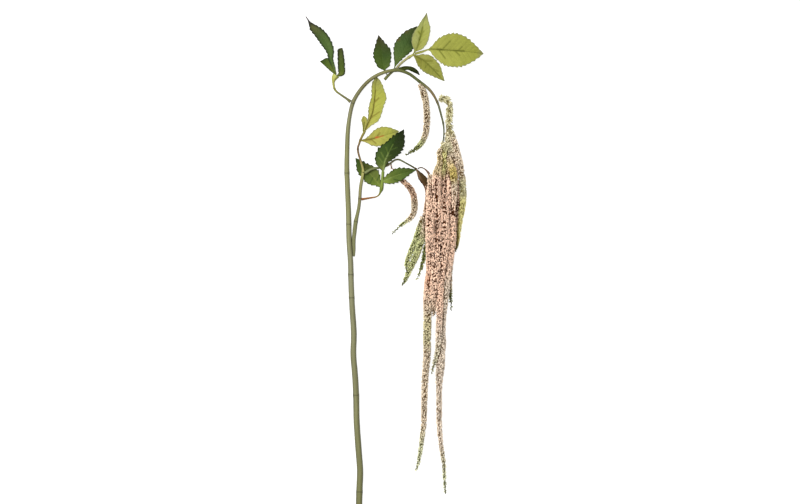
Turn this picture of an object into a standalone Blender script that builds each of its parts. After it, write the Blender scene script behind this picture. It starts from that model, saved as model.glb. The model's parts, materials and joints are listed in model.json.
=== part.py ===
"""A cut stem of hanging amaranth, lying on a table and seen from above.

The stem lies along Y, cut end towards -Y. It rises to an arch, and a bundle of long seed tassels
hangs from its tip. A side stem and four twigs carry the leaves. Table top is Z = 0.
Sizes below are in millimetres; the built objects are in metres.
"""

import math

import bmesh
import bpy
import numpy as np

PART_NAME = "amaranth_seed_head"
MM = 0.001
GAP = 0.3  # left between two pieces that touch
LAY_GAP = 0.35  # between a tassel and the one that it lies on
FINE_STEP = 2.0  # between the points where a tassel's height is worked out
RING_STEP = 12.0  # between a tube's rings
TIGHT_STEP = 7.0  # the same on twigs and on tightly bent tassels
HUMP_RADIUS = 75.0  # tightest bend of a tassel that climbs over another
OUTER_START_HEIGHT = 7.2  # where the outer tassel leaves the side of the main stem
ARCH_START_HEIGHT = 8.3  # where the arch tassel leaves it
SMALL_TASSEL_POINT = 5  # the point of the tassel shoot's route that the small tassel hangs from
TUBE_BEVEL = 2  # gives eight sides
LEAF_THICKNESS = 0.7
LEAF_ROWS = 10
LEAF_COLUMNS = 4
LEAST_HALF_WIDTH = 0.6  # of a blade, at its tip
LEAF_SEAT = 0.75  # from a twig's top to a leaf's middle surface

# Stems and twigs: x, y, height of the centre line, radius.
MAIN_STEM = (
    (-72, -500, 5.8, 5.8),
    (-72, -480, 5.8, 5.8),
    (-71, -446, 5.8, 5.8),
    (-70, -420, 5.7, 5.7),
    (-73, -373, 5.7, 5.7),
    (-77, -313, 5.6, 5.6),
    (-78, -263, 5.6, 5.6),
    (-80, -225, 5.5, 5.5),
    (-83.5, -181, 5.4, 5.4),
    (-82.5, -145, 5.4, 5.4),
    (-86, -85, 5.3, 5.3),
    (-88, -40, 5.2, 5.2),
    (-89, 0, 5.1, 5.1),
    (-92, 47, 5.0, 5.0),
    (-93, 95, 4.9, 4.9),
    (-95, 147, 4.8, 4.8),
    (-96.5, 190, 4.8, 4.7),
    (-96, 227, 5.0, 4.6),
    (-94, 270, 5.5, 4.3),
    (-90, 299, 6.2, 4.1),
    (-84.5, 321, 6.9, 4.2),
    (-69.5, 347, 7.8, 4.0),
    (-42, 373, 8.6, 3.8),
    (-14, 384.5, 8.9, 3.5),
    (6, 386.5, 8.9, 3.4),
    (27, 380, 8.8, 3.3),
    (47.5, 365, 8.5, 3.2),
    (71, 345.5, 8.0, 3.0),
    (84.8, 322, 7.4, 2.6),
    (92, 298, 7.0, 2.3),
    (97.3, 274, 6.5, 2.0),
    (97.7, 257, 6.2, 1.8),
    (94.6, 235, 6.0, 1.6),
)
SIDE_STEM = (
    (-82.2, 14, 3.6, 1.8),
    (-82.4, 27, 3.6, 3.2),
    (-82.8, 47, 3.8, 3.7),
    (-80.6, 67, 3.8, 3.8),
    (-78.6, 84, 3.8, 3.8),
    (-75.5, 98, 3.4, 3.3),
    (-73, 110, 3.1, 3.1),
    (-70.6, 131, 3.2, 2.9),
    (-69, 153, 5.0, 2.7),
    (-66.4, 167, 7.6, 2.5),
    (-63.8, 182, 9.0, 2.3),
)
UPPER_SHOOT = (
    (-63.6, 183.0, 9.0, 1.6),
    (-64, 188, 9.0, 1.5),
    (-66, 196, 8.8, 1.4),
    (-69, 206, 8.4, 1.3),
    (-73.4, 221, 8.0, 1.3),
    (-74.6, 230, 8.0, 1.3),
    (-72, 239, 8.0, 1.2),
    (-69, 248, 8.2, 1.2),
    (-64, 258, 8.6, 1.2),
    (-60, 265.6, 9.0, 1.1),
)
TASSEL_SHOOT = (
    (-60.5, 180.8, 9.0, 1.3),
    (-46, 189, 9.0, 1.3),
    (-36, 191, 7.8, 1.3),
    (-24, 193.6, 5.2, 1.3),
    (-14, 197.4, 4.0, 1.3),
    (-8, 201.4, 4.0, 1.3),
    (-2, 206, 4.0, 1.2),
    (5, 208.4, 4.0, 1.2),
    (13, 205.8, 4.0, 1.2),
    (23, 200.4, 4.0, 1.2),
    (34, 194.4, 4.2, 1.2),
    (43.6, 188.4, 4.5, 1.2),
)
FORK_STALK = (
    (45.5, 190.1, 4.6, 0.9),
    (50, 192.2, 4.8, 0.9),
    (56, 191.2, 5.2, 1.0),
    (62, 186.8, 5.8, 1.2),
    (66.2, 182.4, 6.0, 1.9),
    (68.8, 178.6, 6.0, 2.1),
)
LEFT_LEAF_TWIG = (
    (-88.9, 323.2, 6.6, 1.5),
    (-94, 327.5, 6.8, 1.4),
    (-104, 334.5, 7.2, 1.4),
    (-114, 341.5, 7.6, 1.4),
    (-120, 347, 7.8, 1.4),
    (-122.5, 355, 7.8, 1.5),
    (-123.2, 364, 7.8, 2.2),
    (-121.5, 371, 7.8, 4.4),
    (-118, 376.5, 7.8, 5.2),
)
TOP_LEAF_TWIG = (
    (-21, 368, 2.0, 1.8),
    (-15, 375, 2.0, 1.8),
    (-8, 381.5, 1.9, 1.7),
    (-1, 387, 1.9, 1.7),
    (5, 393, 2.2, 1.7),
    (11, 399.5, 4.4, 1.6),
    (20, 407, 6.8, 1.5),
    (30, 414, 8.4, 1.5),
    (39, 419, 9.5, 1.5),
)
LOWER_LEAF_TWIG = (
    (-67.2, 128.6, 3.2, 1.2),
    (-58, 130, 3.8, 1.2),
    (-46, 132, 5.0, 1.2),
    (-34.5, 135, 6.4, 1.2),
    (-29.6, 142, 7.8, 1.6),
    (-26.8, 151, 8.8, 2.5),
    (-25.6, 163, 9.4, 2.0),
    (-24.6, 175, 9.8, 1.6),
    (-24, 184, 10.2, 1.4),
)

# Tassels, in the order in which they are laid down: x, y, radius along each one.
LEFT_GREEN_TASSEL = (
    (54.5, 93, 2.6),
    (48.6, 71, 3.8),
    (41, 46, 4.0),
    (33, 28, 3.8),
    (27, 11, 3.4),
    (23, -1, 2.6),
    (23.2, -15, 1.0),
)
SHEATH_TASSEL = (
    (44.3, 187.8, 1.2),
    (50, 181, 1.3),
    (56, 170, 1.6),
    (61, 157, 2.2),
    (65.2, 143, 3.0),
    (65, 121, 3.8),
    (62, 99, 4.6),
    (58, 71, 5.0),
    (53, 47, 5.0),
    (46, 27, 5.0),
    (40, 11, 4.8),
    (34, -2, 4.3),
    (28, -15, 3.6),
    (21, -32, 2.4),
    (15, -44, 1.0),
)
SHORT_GREEN_TASSEL = (
    (66, 77, 2.6),
    (64, 47, 3.3),
    (60, 27, 3.3),
    (57.4, 11, 3.2),
    (54, -3, 2.8),
    (51, -13, 2.5),
    (44, -32, 1.0),
)
OUTER_TASSEL = (
    (88.9, 327, 1.5),
    (92.5, 329.6, 3.0),
    (98, 330.5, 5.0),
    (104, 327.5, 5.5),
    (108, 319, 5.5),
    (108.8, 307, 6.0),
    (108.6, 293, 6.3),
    (109, 279, 5.5),
    (111, 265, 5.0),
    (117, 247, 5.0),
    (123, 225, 5.0),
    (129, 202, 5.0),
    (133, 179, 5.0),
    (135.5, 155, 5.2),
    (136, 131, 5.5),
    (133.5, 107, 5.2),
    (129, 83, 4.5),
    (126, 59, 4.0),
    (122, 35, 3.4),
    (114, 13, 1.0),
)
RIGHT_THIN_TASSEL = (
    (101.1, 284, 1.0),
    (102.6, 275, 1.3),
    (103.4, 263, 1.5),
    (104.4, 252, 2.0),
    (107.4, 241, 3.0),
    (112, 223, 4.2),
    (116, 207, 4.6),
    (119.5, 187, 4.6),
    (121.5, 163, 4.6),
    (122.5, 137, 4.5),
    (122, 107, 4.2),
    (120, 77, 4.0),
    (118, 47, 3.6),
    (114.5, 17, 3.2),
    (111.5, -13, 3.0),
    (110.5, -43, 3.0),
    (111.5, -69, 2.4),
    (113, -95, 1.0),
)
LONG_LEFT_TASSEL = (
    (69.3, 177.5, 2.2),
    (70.6, 173.5, 3.8),
    (71.6, 168, 5.0),
    (72, 158, 5.9),
    (71.5, 140, 6.5),
    (71, 110, 6.8),
    (70, 77, 6.8),
    (70, 40, 6.8),
    (71, 0, 6.8),
    (70, -23, 6.8),
    (67, -43, 6.7),
    (65, -73, 6.6),
    (65, -109, 6.5),
    (64, -145, 6.3),
    (64, -181, 6.0),
    (62, -205, 5.7),
    (60, -229, 5.3),
    (59, -257, 4.8),
    (58, -301, 4.3),
    (57, -325, 4.0),
    (54, -349, 3.5),
    (51, -373, 2.9),
    (47, -397, 2.2),
    (41, -416, 1.0),
)
LONGEST_TASSEL = (
    (94.5, 234.1, 1.8),
    (94.6, 230, 2.4),
    (97, 221, 3.8),
    (101, 208, 5.0),
    (107, 190, 6.2),
    (111, 167, 7.0),
    (112.4, 137, 7.0),
    (113, 107, 7.0),
    (113.6, 77, 7.0),
    (113, 47, 7.0),
    (109, 13, 7.0),
    (104, -17, 7.0),
    (101, -49, 7.0),
    (98, -79, 6.9),
    (94, -109, 6.8),
    (93, -145, 6.6),
    (92, -181, 6.4),
    (91, -205, 6.2),
    (88, -229, 5.7),
    (88, -263, 5.1),
    (88, -301, 4.4),
    (89, -333, 3.9),
    (92, -363, 3.4),
    (97, -397, 2.8),
    (99, -429, 2.1),
    (101, -461, 1.0),
)
LOOPING_TASSEL = (
    (90.6, 230.4, 1.6),
    (88.6, 224, 3.0),
    (88, 216, 3.2),
    (90, 207, 4.0),
    (87, 194, 5.0),
    (83, 175, 6.2),
    (83, 147, 6.5),
    (84.6, 117, 6.5),
    (85.6, 83, 6.5),
    (86, 47, 6.5),
    (84.6, 13, 6.4),
    (81, -17, 6.2),
    (78.6, -47, 5.6),
    (78.6, -77, 4.2),
    (77.2, -105, 1.4),
)
MIDDLE_TASSEL = (
    (98, 226, 1.6),
    (98, 214, 3.4),
    (96, 197, 4.8),
    (94, 177, 5.8),
    (94, 157, 6.2),
    (97, 133, 6.2),
    (100, 103, 6.2),
    (101.4, 71, 6.2),
    (101, 47, 6.2),
    (98, 17, 6.0),
    (93, -13, 5.8),
    (90.4, -43, 5.6),
    (89, -93, 5.1),
    (87, -143, 4.4),
    (85, -173, 3.5),
    (79, -197, 2.4),
    (73, -221, 1.0),
)
BRIGHT_BASE_TASSEL = (
    (105, 215, 1.8),
    (110, 201, 4.2),
    (115.4, 187, 4.6),
    (118, 167, 4.4),
    (118.6, 147, 3.8),
    (118, 123, 2.8),
    (117, 99, 1.2),
)
ARCH_TASSEL = (
    (48.2, 358.1, 1.6),
    (52, 353, 3.5),
    (55.6, 345, 4.8),
    (60, 331, 5.2),
    (62.4, 317, 5.2),
    (63.6, 299, 5.2),
    (63.2, 275, 5.2),
    (61, 261, 5.0),
    (57, 249, 4.4),
    (49.6, 237, 3.6),
    (36, 226, 2.4),
    (22, 216, 1.0),
)
SMALL_TASSEL = (
    (-7.4, 198.9, 0.9),
    (-5.6, 191, 1.1),
    (-1.2, 183, 1.6),
    (6, 174, 3.0),
    (16, 165, 4.2),
    (26, 156, 4.6),
    (34, 144, 5.0),
    (38, 129, 5.0),
    (39, 115, 5.0),
    (37, 101, 4.8),
    (29, 89, 4.2),
    (16, 80, 3.2),
    (4, 69, 2.2),
    (-7, 58, 1.0),
)


class Finish:
    """A sub-part's colour as seen in sRGB, with its roughness."""

    def __init__(self, red, green, blue, roughness):
        self.colour = tuple(linear(channel / 255) for channel in (red, green, blue))
        self.roughness = roughness


def linear(channel):
    """An sRGB channel as the linear value that a shader takes."""
    if channel <= 0.04045:
        return channel / 12.92
    return ((channel + 0.055) / 1.055) ** 2.4


STEM_GREEN = Finish(134, 135, 92, 0.55)
TWIG_GREEN = Finish(128, 128, 88, 0.55)
TWIG_BROWN = Finish(150, 106, 72, 0.6)
BRACT_BROWN = Finish(94, 71, 46, 0.65)
LEAF_DARK = Finish(78, 100, 50, 0.5)
LEAF_PALE = Finish(164, 165, 80, 0.5)
TASSEL_PINK = Finish(190, 154, 130, 0.8)
TASSEL_GREEN = Finish(150, 150, 104, 0.8)


class Leaf:
    """One blade, from its stalk to its tip.

    Each row is x, y and the midrib's rise over the stalk's foot, then the half widths to the left
    and right as seen from above. lift is how steeply those halves slope up, in degrees.
    """

    def __init__(self, foot_height, lift, rows):
        self.foot_height = foot_height
        self.left_slope, self.right_slope = (math.tan(math.radians(angle)) for angle in lift)
        self.rows = rows

    def grid(self):
        """Rows of points across the blade, right edge first."""
        x, y, rise, left, right = evenly(smooth(self.rows, FINE_STEP), LEAF_ROWS + 1).T
        heading = np.gradient(np.column_stack([x, y]), axis=0)
        heading /= np.linalg.norm(heading, axis=1)[:, None]
        for across in np.linspace(-1, 1, LEAF_COLUMNS + 1):
            width, slope = (left, self.left_slope) if across > 0 else (right, self.right_slope)
            reach = across * np.maximum(width, LEAST_HALF_WIDTH)
            yield np.column_stack(
                [
                    x - heading[:, 1] * reach,
                    y + heading[:, 0] * reach,
                    self.foot_height + rise + np.abs(reach) * slope,
                ]
            )


def seat_height(route, index):
    """Height of a leaf's stalk that lies on a twig, at one of the twig's route points."""
    _, _, height, radius = route[index]
    return height + radius + LEAF_SEAT


LEFT_TWIG_TOP = seat_height(LEFT_LEAF_TWIG, -1)
TOP_TWIG_END = seat_height(TOP_LEAF_TWIG, -1)
UNDER_ARCH = seat_height(TOP_LEAF_TWIG, 2)
SHOOT_TOP = seat_height(UPPER_SHOOT, -1)
LOWER_TWIG_TOP = seat_height(LOWER_LEAF_TWIG, -1)

LEAVES = {
    "left_leaf_long": Leaf(
        LEFT_TWIG_TOP,
        (-48, 50),
        (
            (-118, 377, 0.7, 0.8, 0.8),
            (-123, 393, 3, 3, 2.5),
            (-128, 409, 5, 5, 5),
            (-130, 421, 6, 6, 8.5),
            (-138, 443, 6, 11, 10),
            (-154, 462, 4, 9, 10),
            (-165, 474, 1, 6, 5),
            (-170, 481, -1, 2, 1.5),
            (-178, 493, -4, 0.6, 0.6),
        ),
    ),
    "left_leaf_small": Leaf(
        LEFT_LEAF_TWIG[-1][2],
        (8, 4),
        (
            (-117.4, 377.8, 0, 1, 1),
            (-122, 383, -0.5, 3, 5),
            (-128, 389, -1, 4, 11),
            (-135, 395, -2, 3, 13),
            (-142, 400, -3, 2, 9),
            (-149, 404, -4, 0.6, 0.6),
        ),
    ),
    "left_leaf_upright": Leaf(
        LEFT_TWIG_TOP,
        (-50, 54),
        (
            (-117, 375.2, 0.8, 0.8, 0.8),
            (-112.5, 376.4, 1.6, 2.8, 3.5),
            (-108, 380, 2.5, 6, 7),
            (-107, 391, 4, 7, 7),
            (-108, 407, 4, 6.5, 7),
            (-108, 419, 3, 6.5, 5),
            (-106.3, 430, 1, 0.6, 0.6),
        ),
    ),
    "top_leaf_dark_short": Leaf(
        UNDER_ARCH,
        (30, 12),
        (
            (-14.5, 376, 0, 1, 1),
            (-19.5, 383, -0.5, 0.8, 1.5),
            (-21.5, 387.5, -0.5, 1.8, 3.5),
            (-22.5, 392, 0, 9, 11),
            (-24, 400, 0.4, 13.5, 15),
            (-25.5, 412, 1, 17, 18),
            (-26.5, 424, 1, 17, 18),
            (-29, 438, 0, 11, 10.5),
            (-33, 457, -2, 0.6, 0.6),
        ),
    ),
    "top_leaf_dark_long": Leaf(
        UNDER_ARCH,
        (3, -4),
        (
            (-4, 385, 0, 1, 1),
            (0, 395, 0, 1.5, 1.5),
            (4.5, 404, 0, 7, 4),
            (11, 416, 0, 16, 8),
            (18, 428, 0, 22, 13),
            (26, 441, 0, 22, 15),
            (33, 456, -0.5, 16, 12),
            (44, 475, -2, 0.6, 0.6),
        ),
    ),
    "top_leaf_dark_curled": Leaf(
        TOP_LEAF_TWIG[4][2] + GAP,
        (60, -25),
        (
            (6.8, 391.3, 0, 0.8, 0.8),
            (12, 390, 0.2, 3, 2.8),
            (19, 390.5, 1, 4, 3.8),
            (26, 391, 2.5, 3.5, 3.5),
            (33, 389.3, 3.5, 4, 4.4),
            (40, 386, 3.5, 3.5, 4.5),
            (45, 382, 2.5, 2.5, 3),
            (49, 377, 1, 0.6, 0.6),
        ),
    ),
    "top_leaf_pale_upper": Leaf(
        TOP_TWIG_END,
        (10, 14),
        (
            (35.4, 417.4, 0, 0.8, 0.8),
            (39.8, 424, 1.5, 2.5, 2),
            (44.5, 432, 3.5, 11.5, 10),
            (49, 445, 5, 16, 16),
            (52, 458, 5, 15, 17),
            (55, 471, 4, 10, 16),
            (58, 485, 2, 5, 10),
            (61.5, 495, 0, 2, 4),
            (63.5, 501, -1, 0.6, 0.6),
        ),
    ),
    "top_leaf_pale_large": Leaf(
        TOP_LEAF_TWIG[-1][2],
        (14, 12),
        (
            (39.7, 419.4, 0, 1, 1),
            (56, 424, 2, 1.2, 1.2),
            (68, 428, 3.5, 1.8, 3),
            (82, 427.5, 4.5, 18, 18),
            (100, 427, 5, 30, 31),
            (119, 425.5, 4, 34, 33),
            (138, 424, 2, 29, 30),
            (158, 422, -2, 16, 18),
            (177, 420, -6, 0.6, 0.6),
        ),
    ),
    "top_leaf_pale_lower": Leaf(
        TOP_TWIG_END,
        (2, 6),
        (
            (37.4, 416.4, 0, 1, 1),
            (42.5, 414, -0.5, 3, 6),
            (50, 410.5, -1.5, 9, 13),
            (61, 403, -3, 16.5, 17),
            (70, 395, -4, 16.5, 17),
            (79, 386, -6, 15, 13),
            (88, 376, -8, 9, 7),
            (99, 365, -10, 0.6, 0.6),
        ),
    ),
    "inner_leaf_pale_long": Leaf(
        SHOOT_TOP,
        (45, 8),
        (
            (-60.5, 264.6, 0, 1, 1),
            (-54, 279, 1.5, 3, 8),
            (-48, 292, 2, 6, 16.5),
            (-44, 304, 2, 9.5, 18),
            (-42, 318, 1, 9, 20),
            (-40, 333, -1, 7, 23),
            (-39, 348, -4, 8, 17),
            (-38, 360, -6, 5, 12),
            (-36, 371, -8, 0.6, 0.6),
        ),
    ),
    "inner_leaf_pale_small": Leaf(
        UPPER_SHOOT[-1][2],
        (12, 4),
        (
            (-63.9, 263.8, 0, 1, 1),
            (-62, 273, -1, 3, 3),
            (-61, 282, -2, 5.5, 6),
            (-62, 289, -3, 5.5, 6),
            (-63.5, 295, -4, 1, 2),
        ),
    ),
    "inner_leaf_pale_side": Leaf(
        seat_height(UPPER_SHOOT, 6),
        (6, 6),
        (
            (-69, 246, 0, 1, 1),
            (-59, 246, -0.5, 4, 4),
            (-48, 248, -1.5, 10, 13),
            (-35, 252, -2.5, 16.5, 18),
            (-22, 256, -3.5, 18, 17),
            (-8, 260, -5, 13, 12),
            (8, 265, -7, 0.6, 0.6),
        ),
    ),
    "lower_leaf_dark_large": Leaf(
        LOWER_TWIG_TOP,
        (14, 12),
        (
            (-24.2, 182, 0, 1, 1),
            (-23.4, 190, 0.5, 7, 3),
            (-22, 199, 1, 16, 7),
            (-19.5, 210, 1.5, 20.5, 13),
            (-15, 221, 2, 20, 19),
            (-7, 235, 2.5, 13, 23),
            (4, 251, 2, 8, 19),
            (18, 268, 0.5, 0.6, 0.6),
        ),
    ),
    "lower_leaf_dark_right": Leaf(
        seat_height(LOWER_LEAF_TWIG, 6),
        (10, 8),
        (
            (-25, 164, 0, 1, 2),
            (-20, 166.5, 0.5, 5, 8),
            (-13, 170, 1, 8, 12),
            (-3, 174, 1, 11.5, 14),
            (8, 178, 0.5, 13, 13),
            (20, 181.5, 0, 10, 9.5),
            (31, 184.5, -0.5, 6, 5),
            (42, 187, -1, 0.6, 0.6),
        ),
    ),
    "lower_leaf_dark_left": Leaf(
        seat_height(LOWER_LEAF_TWIG, 5),
        (2, 2),
        (
            (-28, 152, 0, 1, 1),
            (-32, 158, -1.5, 6, 4),
            (-37, 165, -3.5, 13, 10),
            (-45, 174, -6, 17.5, 16),
            (-54, 183, -8, 17, 16),
            (-64, 194, -9, 15, 10),
            (-71, 203, -9.5, 9, 5),
            (-79, 211, -10, 0.6, 0.6),
        ),
    ),
    "brown_bract": Leaf(
        seat_height(TASSEL_SHOOT, -1),
        (-8, -10),
        (
            (42.6, 188.8, 0, 1, 1),
            (46, 181, 0.4, 3, 4.5),
            (52, 171, 0.8, 4, 5.5),
            (58, 161, 0.8, 3.5, 4),
            (62.5, 153, 0.2, 0.6, 0.6),
        ),
    ),
}


def smooth(points, step):
    """Evenly spaced points on a smooth curve through the given ones, carrying every column."""
    given = np.array(points, float)
    knots = distances_along(given)
    slopes = np.gradient(given, knots, axis=0)
    stations = np.linspace(0, knots[-1], max(3, round(knots[-1] / step) + 1))
    place = np.clip(np.searchsorted(knots, stations) - 1, 0, len(knots) - 2)
    width = (knots[place + 1] - knots[place])[:, None]
    part = (stations - knots[place])[:, None] / width
    return (
        (2 * part**3 - 3 * part**2 + 1) * given[place]
        + (part**3 - 2 * part**2 + part) * slopes[place] * width
        + (3 * part**2 - 2 * part**3) * given[place + 1]
        + (part**3 - part**2) * slopes[place + 1] * width
    )


def evenly(points, count):
    """A given number of the points, spread evenly from the first to the last."""
    return points[np.linspace(0, len(points) - 1, count).round().astype(int)]


def distances_along(points):
    """Distance in plan from the first point to each one."""
    steps = np.hypot(*np.diff(points[:, :2], axis=0).T)
    return np.concatenate([[0], np.cumsum(steps)])


def lay_down(points, start_height, laid):
    """A tassel's x, y, height and radius as it lies on the table and on the tassels before it.

    It starts at start_height where something holds it, sinks from there, and passes over what
    lies in its way in long low humps.
    """
    x, y, radius = smooth(points, FINE_STEP).T
    needed = radius.copy()
    for other in laid:
        apart = np.hypot(x[:, None] - other[:, 0], y[:, None] - other[:, 1])
        reach = radius[:, None] + other[:, 3] + LAY_GAP
        climb = np.sqrt(np.maximum(reach**2 - apart**2, 0))
        needed = np.maximum(needed, np.where(apart < reach, other[:, 2] + climb, 0).max(axis=1))
    along = distances_along(np.column_stack([x, y]))
    humps = needed - (along[:, None] - along) ** 2 / (2 * HUMP_RADIUS)
    held = start_height - along**2 / (2 * HUMP_RADIUS)
    return np.column_stack([x, y, np.maximum(humps.max(axis=1), held), radius])


def material(name, finish):
    """A Principled material with the piece's own colour."""
    made = bpy.data.materials.new(name)
    made.use_nodes = True
    shader = made.node_tree.nodes["Principled BSDF"]
    shader.inputs["Base Color"].default_value = (*finish.colour, 1)
    shader.inputs["Roughness"].default_value = finish.roughness
    shader.inputs["Metallic"].default_value = 0
    return made


def add_object(name, data, finish):
    """Puts a piece in the part's collection, with its material."""
    data.materials.append(material(name, finish))
    made = bpy.data.objects.new(name, data)
    bpy.data.collections[PART_NAME].objects.link(made)
    return made


def add_tube(name, rings, finish):
    """A round stem or tassel through rings of x, y, height and radius, closed at both ends."""
    curve = bpy.data.curves.new(name, "CURVE")
    curve.dimensions = "3D"
    curve.bevel_depth = MM
    curve.bevel_resolution = TUBE_BEVEL
    curve.use_fill_caps = True
    spline = curve.splines.new("POLY")
    spline.points.add(len(rings) - 1)
    for point, (x, y, height, radius) in zip(spline.points, rings):
        point.co = (x * MM, y * MM, height * MM, 1)
        point.radius = radius
    spline.use_smooth = True
    return add_object(name, curve, finish)


def add_leaf(name, leaf, finish):
    """A blade: a flat grid bent to the leaf's shape, then given its thickness."""
    places = np.array(list(leaf.grid())) * MM
    sheet = bmesh.new()
    bmesh.ops.create_grid(sheet, x_segments=LEAF_COLUMNS, y_segments=LEAF_ROWS, size=1)
    for vertex in sheet.verts:
        column = round((1 - vertex.co.x) / 2 * LEAF_COLUMNS)
        row = round((vertex.co.y + 1) / 2 * LEAF_ROWS)
        vertex.co = places[column, row]
    mesh = bpy.data.meshes.new(name)
    sheet.to_mesh(mesh)
    sheet.free()
    mesh.shade_smooth()
    made = add_object(name, mesh, finish)
    shell = made.modifiers.new("Thickness", "SOLIDIFY")
    shell.thickness = LEAF_THICKNESS * MM
    shell.offset = 0
    return made


def clear_scene():
    """Removes what the file holds, and makes the part's own collection."""
    for thing in list(bpy.data.objects):
        bpy.data.objects.remove(thing)
    bpy.context.scene.collection.children.link(bpy.data.collections.new(PART_NAME))


def build_stems():
    """The main stem, the side stem and the twigs that carry leaves and tassels."""
    add_tube("main_stem", smooth(MAIN_STEM, RING_STEP), STEM_GREEN)
    add_tube("side_stem", smooth(SIDE_STEM, RING_STEP), STEM_GREEN)
    add_tube("upper_shoot", smooth(UPPER_SHOOT, TIGHT_STEP), TWIG_BROWN)
    add_tube("tassel_shoot", smooth(TASSEL_SHOOT, TIGHT_STEP), TWIG_GREEN)
    add_tube("fork_stalk", smooth(FORK_STALK, TIGHT_STEP), TWIG_BROWN)
    add_tube("left_leaf_twig", smooth(LEFT_LEAF_TWIG, TIGHT_STEP), TWIG_GREEN)
    add_tube("top_leaf_twig", smooth(TOP_LEAF_TWIG, TIGHT_STEP), TWIG_GREEN)
    add_tube("lower_leaf_twig", smooth(LOWER_LEAF_TWIG, TIGHT_STEP), TWIG_BROWN)


def build_leaves():
    """Nine dark leaves, six pale ones and the brown bract at the root of a tassel."""
    for name, leaf in LEAVES.items():
        finish = LEAF_PALE if "pale" in name else LEAF_DARK
        add_leaf(name, leaf, BRACT_BROWN if name == "brown_bract" else finish)


def build_tassels():
    """The tassels, each laid over the ones before it."""
    stem_tip = MAIN_STEM[-1][2]
    order = (
        ("sheath_tassel", SHEATH_TASSEL, TASSEL_SHOOT[-1][2], RING_STEP, TASSEL_GREEN),
        ("left_green_tassel", LEFT_GREEN_TASSEL, 0, RING_STEP, TASSEL_GREEN),
        ("short_green_tassel", SHORT_GREEN_TASSEL, 0, RING_STEP, TASSEL_GREEN),
        ("outer_tassel", OUTER_TASSEL, OUTER_START_HEIGHT, TIGHT_STEP, TASSEL_PINK),
        ("right_thin_tassel", RIGHT_THIN_TASSEL, stem_tip, RING_STEP, TASSEL_PINK),
        ("long_left_tassel", LONG_LEFT_TASSEL, FORK_STALK[-1][2], RING_STEP, TASSEL_PINK),
        ("longest_tassel", LONGEST_TASSEL, stem_tip, RING_STEP, TASSEL_PINK),
        ("middle_tassel", MIDDLE_TASSEL, 0, RING_STEP, TASSEL_PINK),
        ("looping_tassel", LOOPING_TASSEL, 0, TIGHT_STEP, TASSEL_PINK),
        ("bright_base_tassel", BRIGHT_BASE_TASSEL, 0, TIGHT_STEP, TASSEL_GREEN),
        ("arch_tassel", ARCH_TASSEL, ARCH_START_HEIGHT, TIGHT_STEP, TASSEL_PINK),
        ("small_tassel", SMALL_TASSEL, TASSEL_SHOOT[SMALL_TASSEL_POINT][2], TIGHT_STEP, TASSEL_PINK),
    )
    laid = []
    for name, points, start_height, step, finish in order:
        strand = lay_down(points, start_height, laid)
        laid.append(strand)
        rings = evenly(strand, max(3, round(len(strand) * FINE_STEP / step)))
        add_tube(name, rings, finish)


clear_scene()
build_stems()
build_leaves()
build_tassels()
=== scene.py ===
# %% [markdown]
# A cut stem of hanging amaranth. In the picture it stands against white paper. Here it lies on a
# table and the camera looks straight down, which shows the same outline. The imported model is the
# frame: it gives where every stem, leaf and tassel lies, and this script gives each one its looks.

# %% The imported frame
import json
import math

import bmesh
import bpy
import numpy as np
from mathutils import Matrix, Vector

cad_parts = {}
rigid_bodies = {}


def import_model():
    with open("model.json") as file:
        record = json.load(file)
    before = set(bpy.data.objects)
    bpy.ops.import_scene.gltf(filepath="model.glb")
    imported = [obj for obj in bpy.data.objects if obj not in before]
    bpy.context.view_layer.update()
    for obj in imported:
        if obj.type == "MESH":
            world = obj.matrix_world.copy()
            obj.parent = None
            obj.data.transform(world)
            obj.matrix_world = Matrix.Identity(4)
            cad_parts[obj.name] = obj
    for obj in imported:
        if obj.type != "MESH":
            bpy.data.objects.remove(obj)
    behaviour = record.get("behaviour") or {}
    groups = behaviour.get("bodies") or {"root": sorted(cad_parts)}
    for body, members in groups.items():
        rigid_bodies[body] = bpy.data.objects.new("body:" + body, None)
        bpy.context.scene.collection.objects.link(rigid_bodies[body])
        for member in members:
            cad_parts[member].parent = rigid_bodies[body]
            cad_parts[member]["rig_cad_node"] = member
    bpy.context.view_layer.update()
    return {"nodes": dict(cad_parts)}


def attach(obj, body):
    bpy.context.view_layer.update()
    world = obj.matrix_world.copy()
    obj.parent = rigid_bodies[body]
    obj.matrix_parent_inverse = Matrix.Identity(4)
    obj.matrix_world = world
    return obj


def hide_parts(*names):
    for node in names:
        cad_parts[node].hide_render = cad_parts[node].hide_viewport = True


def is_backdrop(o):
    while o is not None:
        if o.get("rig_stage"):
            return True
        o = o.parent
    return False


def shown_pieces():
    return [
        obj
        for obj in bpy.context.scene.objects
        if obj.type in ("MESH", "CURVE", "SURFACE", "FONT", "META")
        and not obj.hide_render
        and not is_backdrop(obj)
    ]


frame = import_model()
MM = 0.001
BODY = "root"
print("frame:", len(frame["nodes"]), "nodes")

# %% [markdown]
# The camera has to see what the picture sees. One pixel of the picture is 2 mm of the plant, and
# the frame's origin lies under the pixel named below. A long lens far away keeps the perspective
# as weak as it is in the picture, so that a raised leaf isn't pushed outwards.

# %% Camera
PHOTO_WIDTH = 800
PHOTO_HEIGHT = 504
MM_PER_PIXEL = 2.0
ORIGIN_PIXEL = (395.0, 263.5)
LENS = 150.0
SENSOR = 36.0
LYING_HEIGHT = 8.0  # of the plant's middle over the table
FARTHEST = 100.0  # metres that the camera sees


def placed(name, data):
    """A new object in the scene that has this data."""
    thing = bpy.data.objects.new(name, data)
    bpy.context.scene.collection.objects.link(thing)
    return thing


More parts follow.
